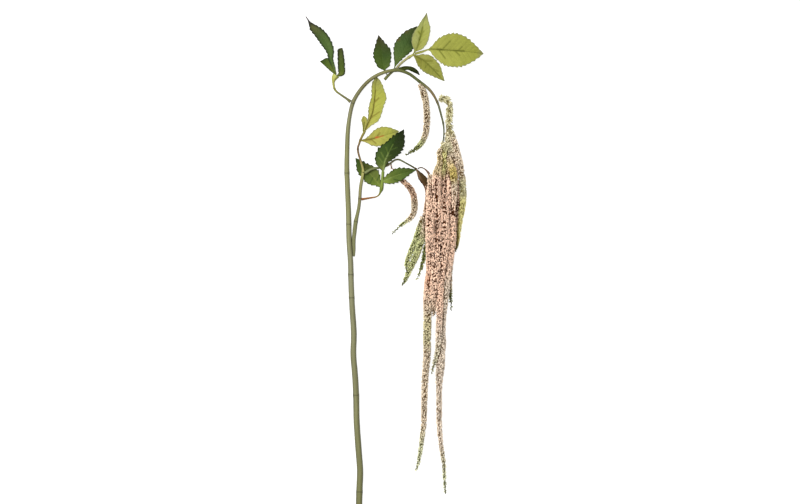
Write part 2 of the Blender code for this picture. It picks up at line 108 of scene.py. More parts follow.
view = bpy.data.cameras.new("camera")
view.lens = LENS
view.sensor_width = SENSOR
view.clip_end = FARTHEST
camera = placed("camera", view)
right_of_origin = (PHOTO_WIDTH / 2 - ORIGIN_PIXEL[0]) * MM_PER_PIXEL
above_origin = (ORIGIN_PIXEL[1] - PHOTO_HEIGHT / 2) * MM_PER_PIXEL
height = PHOTO_WIDTH * MM_PER_PIXEL * LENS / SENSOR + LYING_HEIGHT
camera.location = MM * Vector((right_of_origin, above_origin, height))
bpy.context.scene.camera = camera
print("camera at", camera.location[:])

# %% [markdown]
# The picture was taken in even light on white, and it shows no shadows. A light table does that:
# its top glows, so that it comes out white and the shadows on it stay faint. A big soft lamp
# hangs a little to the upper left, since the stems are lighter on that side.

# %% Table and light
TABLE_SIZE = 12.0
TABLE_DROP = 0.4 * MM
TABLE_GREY = 0.3
TABLE_ROUGHNESS = 0.9
TABLE_GLOW = 0.85
LAMP_PLACE = (-1.6, 1.4, 3.4)
LAMP_SIZE = 3.0
LAMP_POWER = 190.0
SKY_STRENGTH = 0.6
WHITE = (1, 1, 1, 1)

bpy.ops.mesh.primitive_plane_add(size=TABLE_SIZE, location=(0, 0, -TABLE_DROP))
table = bpy.context.object
table.name = "table"
table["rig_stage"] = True
glass = bpy.data.materials.new("light_table")
glass.use_nodes = True
sockets = glass.node_tree.nodes["Principled BSDF"].inputs
sockets["Base Color"].default_value = (TABLE_GREY, TABLE_GREY, TABLE_GREY, 1)
sockets["Roughness"].default_value = TABLE_ROUGHNESS
sockets["Emission Color"].default_value = WHITE
sockets["Emission Strength"].default_value = TABLE_GLOW
table.data.materials.append(glass)
sky = bpy.data.worlds.new("studio")
sky.use_nodes = True
sockets = sky.node_tree.nodes["Background"].inputs
sockets["Color"].default_value = WHITE
sockets["Strength"].default_value = SKY_STRENGTH
bpy.context.scene.world = sky
panel = bpy.data.lights.new("soft_box", "AREA")
panel.size = LAMP_SIZE
panel.energy = LAMP_POWER
lamp = placed("soft_box", panel)
lamp.location = LAMP_PLACE
lamp.rotation_euler = (-Vector(LAMP_PLACE)).to_track_quat("-Z", "Y").to_euler()
bpy.context.scene.view_settings.view_transform = "Standard"
print("table and lights are set")

# %% [markdown]
# Colours are written as a picture editor shows them, from 0 to 255, and turned into the linear
# values that a shader takes. They are divided by the light's gain, so that a surface lying flat in
# this light comes out in the colour that is written.

# %% Colours
LIGHT_GAIN = 1.33  # how much brighter than its own colour a level surface comes out


def tone(red, green, blue):
    """A colour as seen in the picture, as the linear colour of the surface."""
    seen = np.array([red, green, blue]) / 255
    linear = np.where(seen <= 0.04045, seen / 12.92, ((seen + 0.055) / 1.055) ** 2.4)
    return linear / LIGHT_GAIN


def colours_at(share, stops):
    """The colour at each share of the way, from stops: a share, and red, green and blue."""
    places, *colours = zip(*stops)
    return np.column_stack([np.interp(share, places, channel) for channel in tone(*colours)])


print("mid grey comes out of a surface of", tone(128, 128, 128).round(3))

# %% [markdown]
# Both shaders and Geometry Nodes are written as Python expressions. A `Socket` stands for a node's
# output: adding or multiplying two of them adds a Math node. `Nodes` adds any other node: its kind,
# then what goes into its sockets, by place or by name, then its settings.

# %% Nodes as expressions


class Socket:
    """A node's output, which Python's arithmetic can use."""

    def __init__(self, nodes, output):
        self.nodes = nodes
        self.output = output

    def __getitem__(self, name):
        """Another output of the same node."""
        return Socket(self.nodes, self.output.node.outputs[name])

    def __add__(self, other):
        return self.nodes.maths("ADD", self, other)

    def __radd__(self, other):
        return self.nodes.maths("ADD", other, self)

    def __sub__(self, other):
        return self.nodes.maths("SUBTRACT", self, other)

    def __rsub__(self, other):
        return self.nodes.maths("SUBTRACT", other, self)

    def __mul__(self, other):
        return self.nodes.maths("MULTIPLY", self, other)

    def __rmul__(self, other):
        return self.nodes.maths("MULTIPLY", other, self)


class Nodes:
    """Adds nodes to a tree."""

    def __init__(self, tree):
        self.tree = tree

    def add(self, kind, inputs=(), **settings):
        """A node of this kind, with its settings made first and then its sockets filled."""
        node = self.tree.nodes.new(kind)
        for name, value in settings.items():
            setattr(node, name, value)
        for key, value in inputs.items() if isinstance(inputs, dict) else enumerate(inputs):
            self.feed(node.inputs[key], value)
        return Socket(self, node.outputs[0])

    def feed(self, socket, value):
        """Links a Socket, or sets a plain value."""
        if isinstance(value, Socket):
            self.tree.links.new(value.output, socket)
        else:
            socket.default_value = value

    def maths(self, operation, *values):
        return self.add("ShaderNodeMath", values, operation=operation)

    def vectors(self, operation, *values):
        return self.add("ShaderNodeVectorMath", values, operation=operation)

    def scaled(self, vector, factor):
        """A vector or a colour times a number."""
        return self.add("ShaderNodeVectorMath", {0: vector, "Scale": factor}, operation="SCALE")

    def split(self, vector):
        """A vector's X, Y and Z."""
        return self.add("ShaderNodeSeparateXYZ", [vector])

    def vector(self, *numbers):
        return self.add("ShaderNodeCombineXYZ", numbers)

    def mixed(self, factor, first, second):
        """A colour between two others."""
        return self.add("ShaderNodeMix", {0: factor, 6: first, 7: second}, data_type="RGBA")[2]

    def noise(self, place, scale, detail=2.0):
        return self.add("ShaderNodeTexNoise", {"Vector": place, "Scale": scale, "Detail": detail})

    def step(self, value, low, high):
        """0 below low, 1 above high and smooth between them."""
        inputs = {"Value": value, "From Min": low, "From Max": high}
        return self.add("ShaderNodeMapRange", inputs, interpolation_type="SMOOTHSTEP")


class Finish(Nodes):
    """A material: its Principled shader, and the nodes that feed it."""

    def __init__(self, name, roughness, gloss):
        self.material = bpy.data.materials.new(name)
        self.material.use_nodes = True
        super().__init__(self.material.node_tree)
        self.shader = self.tree.nodes["Principled BSDF"]
        self.shader.inputs["Roughness"].default_value = roughness
        self.shader.inputs["Specular IOR Level"].default_value = gloss

    def attribute(self, name):
        """A value that is kept on the mesh."""
        return self.add("ShaderNodeAttribute", attribute_name=name)

    def place(self):
        """The point's own place on the plant, in metres."""
        return self.add("ShaderNodeTexCoord")["Object"]

    def wear(self, colour, height, depth):
        """The colour, and a relief that is this many metres deep."""
        self.feed(self.shader.inputs["Base Color"], colour)
        bump = self.add("ShaderNodeBump", {"Distance": depth, "Height": height})
        self.feed(self.shader.inputs["Normal"], bump)
        return self.material


print("node helpers are ready")

# %% [markdown]
# Every stem and tassel in the frame is a plain eight-sided tube. Its middle line is read back by
# walking along it: the eight corners of one end are found, then the corners joined to them, and so
# on to the other end. Each ring gives a point and a radius, and a smooth curve through these
# carries the finer piece.

# %% Reading a tube's middle line
WELD = 0.01 * MM
TUBE_SIDES = 8


def rings_of(node, x, y):
    """x, y, z and radius of a tube's rings in millimetres, from the end at x, y."""
    tube = bmesh.new()
    tube.from_mesh(frame["nodes"][node].data)
    bmesh.ops.remove_doubles(tube, verts=tube.verts, dist=WELD)
    end = Vector((x, y)) * MM
    ring = sorted(tube.verts, key=lambda vertex: (vertex.co.xy - end).length)[:TUBE_SIDES]
    seen = set(ring)
    rings = []
    while ring:
        corners = np.array([vertex.co for vertex in ring]) / MM
        middle = corners.mean(axis=0)
        rings.append([*middle, np.linalg.norm(corners - middle, axis=1).mean()])
        ring = {edge.other_vert(vertex) for vertex in ring for edge in vertex.link_edges} - seen
        seen |= ring
    tube.free()
    return np.array(rings)


def distances_along(points):
    """Distance in plan from the first point to each one."""
    steps = np.hypot(*np.diff(points[:, :2], axis=0).T)
    return np.concatenate([[0], np.cumsum(steps)])


def smooth(points, step):
    """Evenly spaced points on a smooth curve through the given ones, carrying every column."""
    given = np.array(points, float)
    knots = distances_along(given)
    slopes = np.gradient(given, knots, axis=0)
    stations = np.linspace(0, knots[-1], max(3, round(knots[-1] / step) + 1))
    before = np.clip(np.searchsorted(knots, stations) - 1, 0, len(knots) - 2)
    width = (knots[before + 1] - knots[before])[:, None]
    part = (stations - knots[before])[:, None] / width
    return (
        (2 * part**3 - 3 * part**2 + 1) * given[before]
        + (part**3 - 2 * part**2 + part) * slopes[before] * width
        + (3 * part**2 - 2 * part**3) * given[before + 1]
        + (part**3 - part**2) * slopes[before + 1] * width
    )


def headings(points):
    """The direction of the line at each point, as unit vectors."""
    way = np.gradient(points[:, :3], axis=0)
    return way / np.linalg.norm(way, axis=1)[:, None]


print("the main stem has", len(rings_of("main_stem", -72, -500)), "rings")

# %% [markdown]
# A piece grown by Geometry Nodes starts as a thread: a row of points with the values that the
# tree needs, such as a radius and a colour. The tree runs as a modifier, and the result is kept as
# a plain mesh.

# %% Threads, trees and pieces
KINDS = {1: ("FLOAT", "value"), 3: ("FLOAT_VECTOR", "vector")}
PRESSED = 0.6 * MM  # height up to which a mesh gives way to the table


def tag(mesh, name, values):
    """Keeps a number or a vector for each vertex of a mesh."""
    values = np.asarray(values, np.float32)
    kind, field = KINDS[1 if values.ndim == 1 else values.shape[1]]
    mesh.attributes.new(name, kind, "POINT").data.foreach_set(field, values.ravel())


def thread(points, tags):
    """A line of points in millimetres, with its tags."""
    mesh = bpy.data.meshes.new("thread")
    count = len(points)
    mesh.from_pydata(points[:, :3] * MM, list(zip(range(count - 1), range(1, count))), [])
    for name, values in tags.items():
        tag(mesh, name, values)
    return mesh


def tree_with(name, inputs):
    """An empty Geometry Nodes tree with named inputs."""
    tree = bpy.data.node_groups.new(name, "GeometryNodeTree")
    tree.interface.new_socket("Geometry", in_out="OUTPUT", socket_type="NodeSocketGeometry")
    for label, kind in {"Thread": "Geometry", **inputs, "Finish": "Material"}.items():
        tree.interface.new_socket(label, in_out="INPUT", socket_type="NodeSocket" + kind)
    nodes = Nodes(tree)
    return nodes, nodes.add("NodeGroupInput")


def named(nodes, name, kind="FLOAT"):
    """A tag of the geometry, inside a tree."""
    return nodes.add("GeometryNodeInputNamedAttribute", {"Name": name}, data_type=kind)


def stored(nodes, geometry, name, value, domain="POINT", kind="FLOAT"):
    inputs = {"Geometry": geometry, "Name": name, "Value": value}
    settings = {"data_type": kind, "domain": domain}
    return nodes.add("GeometryNodeStoreNamedAttribute", inputs, **settings)


def moved(nodes, geometry, offset):
    return nodes.add("GeometryNodeSetPosition", {"Geometry": geometry, "Offset": offset})


def swept(nodes, line, section, scale):
    """A closed rod along a line, with the section's size at each point."""
    inputs = {"Curve": line, "Profile Curve": section, "Scale": scale, "Fill Caps": True}
    return nodes.add("GeometryNodeCurveToMesh", inputs)


def circle(nodes, sides):
    inputs = {"Resolution": sides, "Radius": 1.0}
    return nodes.add("GeometryNodeCurvePrimitiveCircle", inputs)


def ended(nodes, geometry, finish):
    """Gives the geometry its material and sends it to the tree's output."""
    inputs = {"Geometry": geometry, "Material": finish}
    out = nodes.tree.nodes.new("NodeGroupOutput")
    nodes.feed(out.inputs["Geometry"], nodes.add("GeometryNodeSetMaterial", inputs))
    return nodes.tree


def plain_mesh(thing):
    """The mesh of an object with its modifiers made part of it."""
    graph = bpy.context.evaluated_depsgraph_get()
    return bpy.data.meshes.new_from_object(
        thing.evaluated_get(graph), preserve_all_data_layers=True, depsgraph=graph
    )


def grown(name, mesh, tree, values):
    """The plain mesh that a tree makes of a thread."""
    source = placed("source", mesh)
    modifier = source.modifiers.new("grow", "NODES")
    modifier.node_group = tree
    for item in tree.interface.items_tree:
        if item.in_out == "INPUT" and item.name in values:
            modifier[item.identifier] = values[item.name]
    made = plain_mesh(source)
    bpy.data.objects.remove(source)
    bpy.data.meshes.remove(mesh)
    made.name = name
    return made


def settle(mesh):
    """Presses what would sink into the table flat on it."""
    places = np.empty(len(mesh.vertices) * 3, np.float32)
    mesh.vertices.foreach_get("co", places)
    height = places[2::3]
    places[2::3] = (height + np.hypot(height, PRESSED)) / 2
    mesh.vertices.foreach_set("co", places)
    mesh.update()


def shown(node, mesh):
    """Puts a finished mesh in the scene in place of a node of the frame."""
    settle(mesh)
    piece = placed(node + "_shown", mesh)
    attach(piece, BODY)
    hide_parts(node)
    print(node, "has", len(mesh.polygons), "faces")


print("thread and tree helpers are ready")

# %% [markdown]
# ## Stems
# The stem is a jointed rod with shallow grooves along it. Each joint is a slight swelling with a
# thin dark seam. The rod is a ribbed circle swept along its thread, so one tree serves the main
# stem, the side stem and all the twigs. A noise along the surface keeps it from looking turned.

# %% The grooved stem tree
STEM_SIDES = 32
BARK_LENGTH = 40.0  # turns metres along the stem into the size of its cross section
WOBBLES = 45.0  # to the metre


def grooved_stem():
    inputs = {"Ribs": "Float", "Rib depth": "Float", "Wobble": "Float"}
    nodes, given = tree_with("Grooved stem", inputs)
    line = nodes.add("GeometryNodeMeshToCurve", {"Mesh": given["Thread"]})
    along = nodes.add("GeometryNodeSplineParameter")["Length"]
    line = stored(nodes, line, "run", along)
    around = nodes.add("GeometryNodeSplineParameter")["Factor"] * (2 * math.pi)
    place = nodes.add("GeometryNodeInputPosition")
    ribs = nodes.maths("COSINE", around * given["Ribs"]) * given["Rib depth"]
    section = moved(nodes, circle(nodes, STEM_SIDES), nodes.scaled(place, ribs))
    section = stored(nodes, section, "section", place, kind="FLOAT_VECTOR")
    skin = swept(nodes, line, section, named(nodes, "radius"))
    section = nodes.split(named(nodes, "section", "FLOAT_VECTOR"))
    bark = nodes.vector(section["X"], section["Y"], named(nodes, "run") * BARK_LENGTH)
    skin = stored(nodes, skin, "bark", bark, kind="FLOAT_VECTOR")
    wobble = (nodes.noise(place, WOBBLES) - 0.5) * given["Wobble"]
    skin = moved(nodes, skin, nodes.scaled(nodes.add("GeometryNodeInputNormal"), wobble))
    return ended(nodes, skin, given["Finish"])


GROOVED_STEM = grooved_stem()
print("stem tree:", len(GROOVED_STEM.nodes), "nodes")

# %% [markdown]
# The stem's skin is dull olive, streaked along its length where the grooves hold shade, and
# freckled a little. Its two flanks are painted darker than its back: painted shade. The colour
# itself is a tag on the thread, so that it can change from joint to joint. The streaks read the
# `bark` tag, which runs along the stem and round it without a seam.

# %% Stem finish
LONG_STREAKS = (2.6, 2.6, 0.5)  # how often they come across the stem and along it
FINE_STREAKS = (9.0, 9.0, 0.7)
FRECKLES = 700.0  # to the metre
FRECKLE_EDGE = (0.62, 0.75)  # values of the noise
FLANK_EDGE = (0.3, 0.95)  # shares of the way from the back to the side
BASE_LIGHT = 0.36
STREAK_LIGHT = (0.74, 0.4)  # what the long and the fine streaks give
FLANK_SHADE = 0.36
FRECKLE_SHADE = 0.18
SEAM_SHADE = 0.55
STEM_RELIEF = 0.25 * MM


def stem_finish():
    finish = Finish("stem_skin", 0.55, 0.12)
    bark = finish.attribute("bark")["Vector"]
    long_streaks = finish.noise(finish.vectors("MULTIPLY", bark, LONG_STREAKS), 1.0, 3.0)
    fine_streaks = finish.noise(finish.vectors("MULTIPLY", bark, FINE_STREAKS), 1.0)
    freckles = finish.step(finish.noise(finish.place(), FRECKLES), *FRECKLE_EDGE)
    seam = finish.attribute("seam")["Fac"]
    # The flanks take painted shade: they come out darker than the stem's back.
    flank = finish.step(finish.maths("ABSOLUTE", finish.split(bark)["X"]), *FLANK_EDGE)
    light = BASE_LIGHT + long_streaks * STREAK_LIGHT[0] + fine_streaks * STREAK_LIGHT[1]
    light = light * (1 - flank * FLANK_SHADE) * (1 - freckles * FRECKLE_SHADE)
    light = light * (1 - seam * SEAM_SHADE)
    colour = finish.scaled(finish.attribute("tone")["Color"], light)
    relief = long_streaks * 0.5 + fine_streaks - seam
    return finish.wear(colour, relief, STEM_RELIEF)


STEM_SKIN = stem_finish()
print("finish:", STEM_SKIN.name)

# %% [markdown]
# Each stem is described by where it starts, its joints and its colours on the way. A joint is a
# place on the stem, how much it swells and over what length. A colour stop is a share of the way
# and the red, green and blue there.

# %% The stems and twigs
STEM_STEP = 1.6  # between rings
RIB_DEPTH = 0.05  # of the stem's radius
STEM_WOBBLE = 0.5 * MM
CREASE_ANGLE = 50  # degrees from which an edge is shaded sharp
SEAM_WIDTH = 0.9
SEAM_DEPTH = 0.06  # of the stem's radius


class Joint:
    """A swelling with a thin seam: its place, and how much and how far it swells."""

    def __init__(self, x, y, swell=0.08, reach=3.0, seam=1.0):
        self.x, self.y = x, y
        self.swell, self.reach, self.seam = swell, reach, seam

    def profile(self, points):
        """The share that the radius gains at each point, and how dark the seam is."""
        along = distances_along(points)
        nearest = np.hypot(points[:, 0] - self.x, points[:, 1] - self.y).argmin()
        away = along - along[nearest]
        seam = self.seam * np.exp(-((away / SEAM_WIDTH) ** 2))
        return self.swell * np.exp(-((away / self.reach) ** 2)) - SEAM_DEPTH * seam, seam


def rod(name, points, radius, colour, seam=0.0, ribs=0, wobble=STEM_WOBBLE):
    """A rod of the stem's skin along points in millimetres."""
    count = len(points)
    tags = {"radius": radius * MM, "seam": np.full(count, seam), "tone": colour}
    depth = RIB_DEPTH if ribs else 0.0
    values = {"Ribs": ribs, "Rib depth": depth, "Wobble": wobble, "Finish": STEM_SKIN}
    return grown(name, thread(points, tags), GROOVED_STEM, values)


def stem(node, start, ribs, stops, joints=(), girth=((0, 1),)):
    """A stem or a twig in place of the frame's plain tube. The girth goes by shares of the way."""
    points = smooth(rings_of(node, *start), STEM_STEP)
    share = distances_along(points) / distances_along(points)[-1]
    gain, seam = np.interp(share, *zip(*girth)), np.zeros(len(points))
    for joint in joints:
        swell, dark = joint.profile(points)
        gain += swell
        seam = np.maximum(seam, dark)
    mesh = rod(node, points, points[:, 3] * gain, colours_at(share, stops), seam, ribs)
    mesh.set_sharp_from_angle(angle=math.radians(CREASE_ANGLE))
    shown(node, mesh)


MAIN_JOINTS = (
    Joint(-73, -456),
    Joint(-78, -263, 0.1),
    Joint(-87, -68, 0.1),
    Joint(-88.4, -23, 0.1),
    Joint(-92.5, 79, 0.06),
    Joint(-96, 181, 0.1),
    Joint(-84.5, 321, 0.05),
    Joint(0, 386.5, 0.16, 4.0, 0.3),
    Joint(49, 364, 0.12),
    Joint(85, 322, 0.16),
    Joint(98, 282, 0.2),
)
stem(
    "main_stem", (-72, -500), 9,
    (
        (0.0, 128, 128, 84), (0.2, 138, 137, 96), (0.44, 150, 149, 114), (0.5, 147, 146, 102),
        (0.62, 148, 148, 100), (0.66, 140, 140, 94), (0.71, 142, 140, 104), (0.74, 130, 128, 88),
        (0.765, 120, 115, 76), (0.785, 138, 136, 92), (0.805, 140, 138, 88), (0.825, 116, 118, 66),
        (0.845, 100, 106, 58), (0.875, 102, 108, 60), (0.89, 134, 124, 88), (0.91, 134, 114, 76),
        (0.93, 110, 114, 82), (1.0, 100, 106, 76),
    ),
    MAIN_JOINTS,
    ((0, 1.08), (0.6, 1.05), (0.68, 0.97), (0.78, 0.93), (0.9, 0.93), (0.94, 0.84), (1, 0.84)),
)
stem(
    "side_stem", (-82.2, 14), 7,
    (
        (0.0, 136, 137, 96), (0.55, 138, 139, 94), (0.7, 146, 140, 96), (0.9, 162, 160, 106),
        (1.0, 184, 182, 106),
    ),
    (Joint(-78.6, 84.6, 0.14, 2.5), Joint(-70.6, 129, 0.16, 3.0)),
    ((0, 1.05), (0.7, 1.1), (0.9, 1.3), (1, 1.4)),
)
stem(
    "upper_shoot", (-63.6, 183), 5,
    (
        (0.0, 186, 182, 104), (0.18, 168, 156, 94), (0.35, 136, 112, 76), (0.6, 124, 96, 60),
        (0.8, 148, 130, 64), (1.0, 152, 146, 66),
    ),
    (Joint(-74.6, 228, 0.3, 2.0), Joint(-69, 247, 0.35, 2.5)),
    ((0, 2.0), (0.2, 1.6), (0.6, 1.6), (1, 2.2)),
)
stem(
    "tassel_shoot", (-60.5, 180.8), 5,
    (
        (0.0, 134, 142, 92), (0.3, 124, 132, 84), (0.42, 160, 146, 110), (0.52, 150, 144, 104),
        (0.65, 122, 126, 78), (0.8, 84, 92, 46), (1.0, 88, 76, 46),
    ),
    (Joint(43, 189, 0.5, 2.5), Joint(-13, 196, 0.5, 5.0, 0.1)),
    ((0, 2.6), (0.1, 2.2), (0.35, 1.6), (0.6, 1.4), (1, 1.35)),
)
stem(
    "fork_stalk", (45.5, 190.1), 5,
    ((0.0, 104, 92, 66), (0.6, 112, 78, 52), (1.0, 150, 118, 96)),
    (Joint(66, 182.5, 0.2, 2.5),),
    ((0, 1.8), (0.1, 1.2), (1, 1.1)),
)
stem(
    "left_leaf_twig", (-88.9, 323.2), 5,
    (
        (0.0, 124, 120, 78), (0.3, 120, 120, 68), (0.45, 134, 132, 70), (0.6, 164, 162, 78),
        (0.8, 180, 178, 86), (1.0, 196, 200, 110),
    ),
    (Joint(-121, 349, 0.2, 2.5),),
    ((0, 2.4), (0.12, 1.7), (0.4, 1.3), (0.6, 1.5), (0.8, 1.4), (0.9, 1.25), (1, 1.4)),
)
stem(
    "top_leaf_twig", (-21, 368), 5,
    (
        (0.0, 116, 120, 64), (0.3, 122, 124, 70), (0.45, 166, 160, 112), (0.75, 176, 170, 112),
        (1.0, 186, 186, 92),
    ),
    (Joint(27.8, 413, 0.7, 2.6, 0.4),),
    ((0, 1.7), (0.3, 1.3), (0.5, 1.4), (0.8, 1.6), (1, 1.7)),
)
stem(
    "lower_leaf_twig", (-67.2, 128.6), 5,
    (
        (0.0, 156, 98, 52), (0.3, 162, 112, 58), (0.44, 150, 140, 66), (0.52, 116, 130, 54),
        (0.7, 138, 156, 68), (1.0, 138, 158, 74),
    ),
    (Joint(-27.6, 148, 0.3, 4.0, 0.2),),
    ((0, 2.2), (0.15, 1.6), (0.4, 1.2), (0.55, 1.3), (0.75, 1.6), (1, 2.1)),
)
print("stems and twigs:", [piece.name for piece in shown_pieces() if "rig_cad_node" not in piece])

# %% [markdown]
# ## Leaves
# A leaf is a thin toothed sheet with a midrib, side veins and a blade that puffs up between them.
# Its outline follows the frame's plain leaf: the rows below are nearly the same midrib points and
# half widths, with a few more where the teeth need them. A grid is bent onto them, finer near the
# midrib and the edges, and the teeth move only its outer columns. Solidify then gives it the
# thickness of a dried leaf.

# %% Leaf shape
ROW_STEP = 1.2
COLUMN_STEP = 1.5
LEAST_HALF_WIDTH = 0.6
CROWDING = 0.09  # how far the columns are drawn to the midrib and the edges
TOOTH_DEPTH = 2.2
TOOTH_PITCH = 8.6
TOOTH_TIP = 0.85  # share of a tooth that slopes out, before it drops back
TOOTH_SHIFT = 0.45  # of a pitch, between the two edges
TOOTH_UNEVEN = 0.35
TOOTH_ZERO = 0.4  # of its depth, where the outline runs
TEETH_FROM = (2.5, 7)  # half widths at which the teeth start, and have their full depth
VEIN_PITCH = 11.0
VEIN_LEAN = 0.8
VEIN_BEND = 0.004
PUFF = 0.45
PUFF_FROM = (1, 6)  # distances from the midrib
CREASE = 0.35
CREASE_WIDTH = 1.3
CREASE_FROM = (1, 4)  # half widths, as are the next two
RIPPLE_FROM = (3, 12)
RIM_FROM = (1.5, 5)
RIPPLE = 0.7
RIPPLE_LENGTH = 19.0
HALVES_MEET = (-1, 1)  # distances from the midrib between which the two colours mix
BLADE_THICKNESS = 0.45
RIM_WIDTH = 1.3
RIM_SHARE = 0.9
STALK = 1.0
STALK_END = 0.1  # share of the way
RIB_TAPER = ((0.25, 0.9), (0.5, 0.55), (1, 0.2))  # share of the way, and radius
RIB_DROP = 0.75  # of its radius, under the sheet
RIB_GAP = 0.1
RIB_WOBBLE = 0.1 * MM
TINY = 1e-9  # keeps a spot, a line of no length, from a division by zero


def bump_between(value, low, high):
    """0 below low, 1 above high and smooth between them, for arrays."""
    part = np.clip((value - low) / (high - low), 0, 1)
    return part * part * (3 - 2 * part)


def foot_height(node, x, y):
    """Height of the middle of a frame leaf's sheet at its stalk."""
    sheet = frame["nodes"][node].data
    corners = {tuple(np.round(np.array(vertex.co) / MM, 2)) for vertex in sheet.vertices}
    nearest = sorted(corners, key=lambda corner: math.hypot(corner[0] - x, corner[1] - y))[:2]
    return sum(corner[2] for corner in nearest) / 2


class Leaf:
    """One blade. Each row is x, y, the midrib's rise, and the half widths to the left and right.

    rim is the colour of the edge, and lift is how steeply the two halves slope up. left and right
    are colour stops from the stalk to the tip. The rest can be left out: tooth is the depth of the
    teeth, spots are x, y, a radius and a colour, marks are two ends, a width and a colour, stalk is
    the thickness of the stalk under the blade, and rim_width is how far the rim's colour reaches.
    """

    def __init__(self, node, rim, lift, rows, left, right=None, **more):
        self.node = node
        self.tooth, self.stalk = more.get("tooth", TOOTH_DEPTH), more.get("stalk", STALK)
        self.rim_width = more.get("rim_width", RIM_WIDTH)
        x, y, rise, left_width, right_width = smooth(rows, ROW_STEP).T
        self.spine = np.column_stack([x, y, foot_height(node, *rows[0][:2]) + rise])
        along = distances_along(self.spine)
        sides = max(4, math.ceil(max(left_width.max(), right_width.max()) / COLUMN_STEP))
        across = np.linspace(1, -1, 2 * sides + 1)
        across = across - CROWDING * np.sin(2 * math.pi * across)
        self.along = along[:, None] + 0 * across
        across = across + 0 * self.along
        width = np.where(across > 0, left_width[:, None], right_width[:, None])
        self.width = np.maximum(width, LEAST_HALF_WIDTH)
        self.out = np.abs(across)
        edge = np.sign(across) * self.teeth(np.where(across > 0, 0.0, TOOTH_SHIFT))
        self.reach = across * self.width + edge * self.out**6
        slopes = np.tan(np.radians(lift))
        slope = np.where(across > 0, slopes[0], slopes[1])
        heading = headings(self.spine * (1, 1, 0))
        away = np.abs(self.reach)
        self.vein_place = self.along - VEIN_LEAN * away - VEIN_BEND * self.reach**2
        sheet = [
            x[:, None] - heading[:, 1:2] * self.reach,
            y[:, None] + heading[:, 0:1] * self.reach,
            self.spine[:, 2:] + away * slope + self.relief(),
        ]
        self.places = np.stack(sheet, axis=-1)
        self.tone = self.painted(left, right, rim, more.get("spots", ()), more.get("marks", ()))

    def teeth(self, phase):
        """How far the edge moves out at each row, less where the blade is narrow."""
        part = (self.along / TOOTH_PITCH + phase) % 1
        saw = np.where(part < TOOTH_TIP, part / TOOTH_TIP, (1 - part) / (1 - TOOTH_TIP))
        uneven = 1 + TOOTH_UNEVEN * np.sin(self.along / 5.3 + phase * 20)
        return self.tooth * uneven * (saw - TOOTH_ZERO) * bump_between(self.width, *TEETH_FROM)

    def relief(self):
        """Height of the puffed fields, the crease along the midrib and the wavy edge."""
        side = np.where(self.reach > 0, 0.0, 0.5)
        field = 0.5 - 0.5 * np.cos(2 * math.pi * (self.vein_place / VEIN_PITCH + side))
        inner = bump_between(np.abs(self.reach), *PUFF_FROM) * (1 - self.out**2)
        edge = np.sin(2 * math.pi * self.along / RIPPLE_LENGTH + side * 3) * self.out**3
        edge = edge * bump_between(self.width, *RIPPLE_FROM)
        crease = np.exp(-((self.reach / CREASE_WIDTH) ** 2))
        crease = crease * bump_between(self.width, *CREASE_FROM)
        return PUFF * field * inner + RIPPLE * edge - CREASE * crease

    def from_line(self, start, end):
        """Distance in plan from each point of the grid to a straight line or a spot."""
        way = np.subtract(end, start)
        offset = self.places[..., :2] - start
        part = np.clip(offset @ way / max(way @ way, TINY), 0, 1)[..., None]
        return np.linalg.norm(offset - part * way, axis=-1)

    def painted(self, left, right, rim, spots, marks):
        """The colour at each point of the grid."""
        share = self.along[:, 0] / self.along[-1, 0]
        halves = [colours_at(share, stops)[:, None] for stops in (left, right or left)]
        side = bump_between(self.reach, *HALVES_MEET)[..., None]
        colour = halves[1] + (halves[0] - halves[1]) * side
        stains = [((x, y), (x, y), size, stain) for x, y, size, stain in spots]
        for start, end, width, stain in [*stains, *marks]:
            mask = np.exp(-((self.from_line(start, end) / width) ** 2))[..., None]
            colour = colour + (stain - colour) * mask
        inside = (1 - self.out) * self.width
        edge = np.exp(-((inside / self.rim_width) ** 2))
        edge = edge * bump_between(self.width, *RIM_FROM)
        return colour + (rim - colour) * edge[..., None] * RIM_SHARE

    def blade(self, finish):
        """The sheet as an object whose mesh has a thickness."""
        rows, columns = self.along.shape
        sheet = bmesh.new()
        bmesh.ops.create_grid(sheet, x_segments=columns - 1, y_segments=rows - 1, size=1)
        mesh = bpy.data.meshes.new(self.node)
        sheet.to_mesh(mesh)
        sheet.free()
        mesh.vertices.foreach_set("co", (self.places * MM).astype(np.float32).ravel())
        blade = np.stack([self.vein_place, self.reach, self.out], axis=-1)
        tag(mesh, "blade", blade.reshape(-1, 3))
        tag(mesh, "tone", self.tone.reshape(-1, 3))
        mesh.materials.append(finish)
        mesh.update()
        thing = placed(self.node, mesh)
        wall = thing.modifiers.new("thickness", "SOLIDIFY")
        wall.thickness = BLADE_THICKNESS * MM
        wall.offset = 0
        mesh = plain_mesh(thing)
        thing.modifiers.clear()
        thing.data = mesh
        return thing

    def rib(self):
        """The stalk and the midrib under the blade, as a tapering rod."""
        share = self.along[:, 0] / self.along[-1, 0]
        foot = ((0, self.stalk), (STALK_END, self.stalk))
        radius = np.interp(share, *zip(*foot, *RIB_TAPER))
        spine = self.spine.copy()
        spine[:, 2] -= radius * RIB_DROP + RIB_GAP
        middle = self.tone[:, self.tone.shape[1] // 2]
        name = self.node + "_rib"
        return placed(name, rod(name, spine, radius, middle, wobble=RIB_WOBBLE))


def joined(first, *others):
    """One mesh from several objects, which are used up."""
    things = [first, *others]
    with bpy.context.temp_override(active_object=first, selected_editable_objects=things):
        bpy.ops.object.join()
    mesh = first.data
    bpy.data.objects.remove(first)
    return mesh


def leaf(node, kind, *shape, **more):
    """A leaf in place of the frame's plain one. Its kind is a slot, which is not used, and a
    finish.
    """
    slot, finish = kind
    made = Leaf(node, *shape, **more)
    mesh = joined(made.blade(finish), made.rib())
    mesh.shade_smooth()
    shown(node, mesh)


print("leaf helpers are ready")

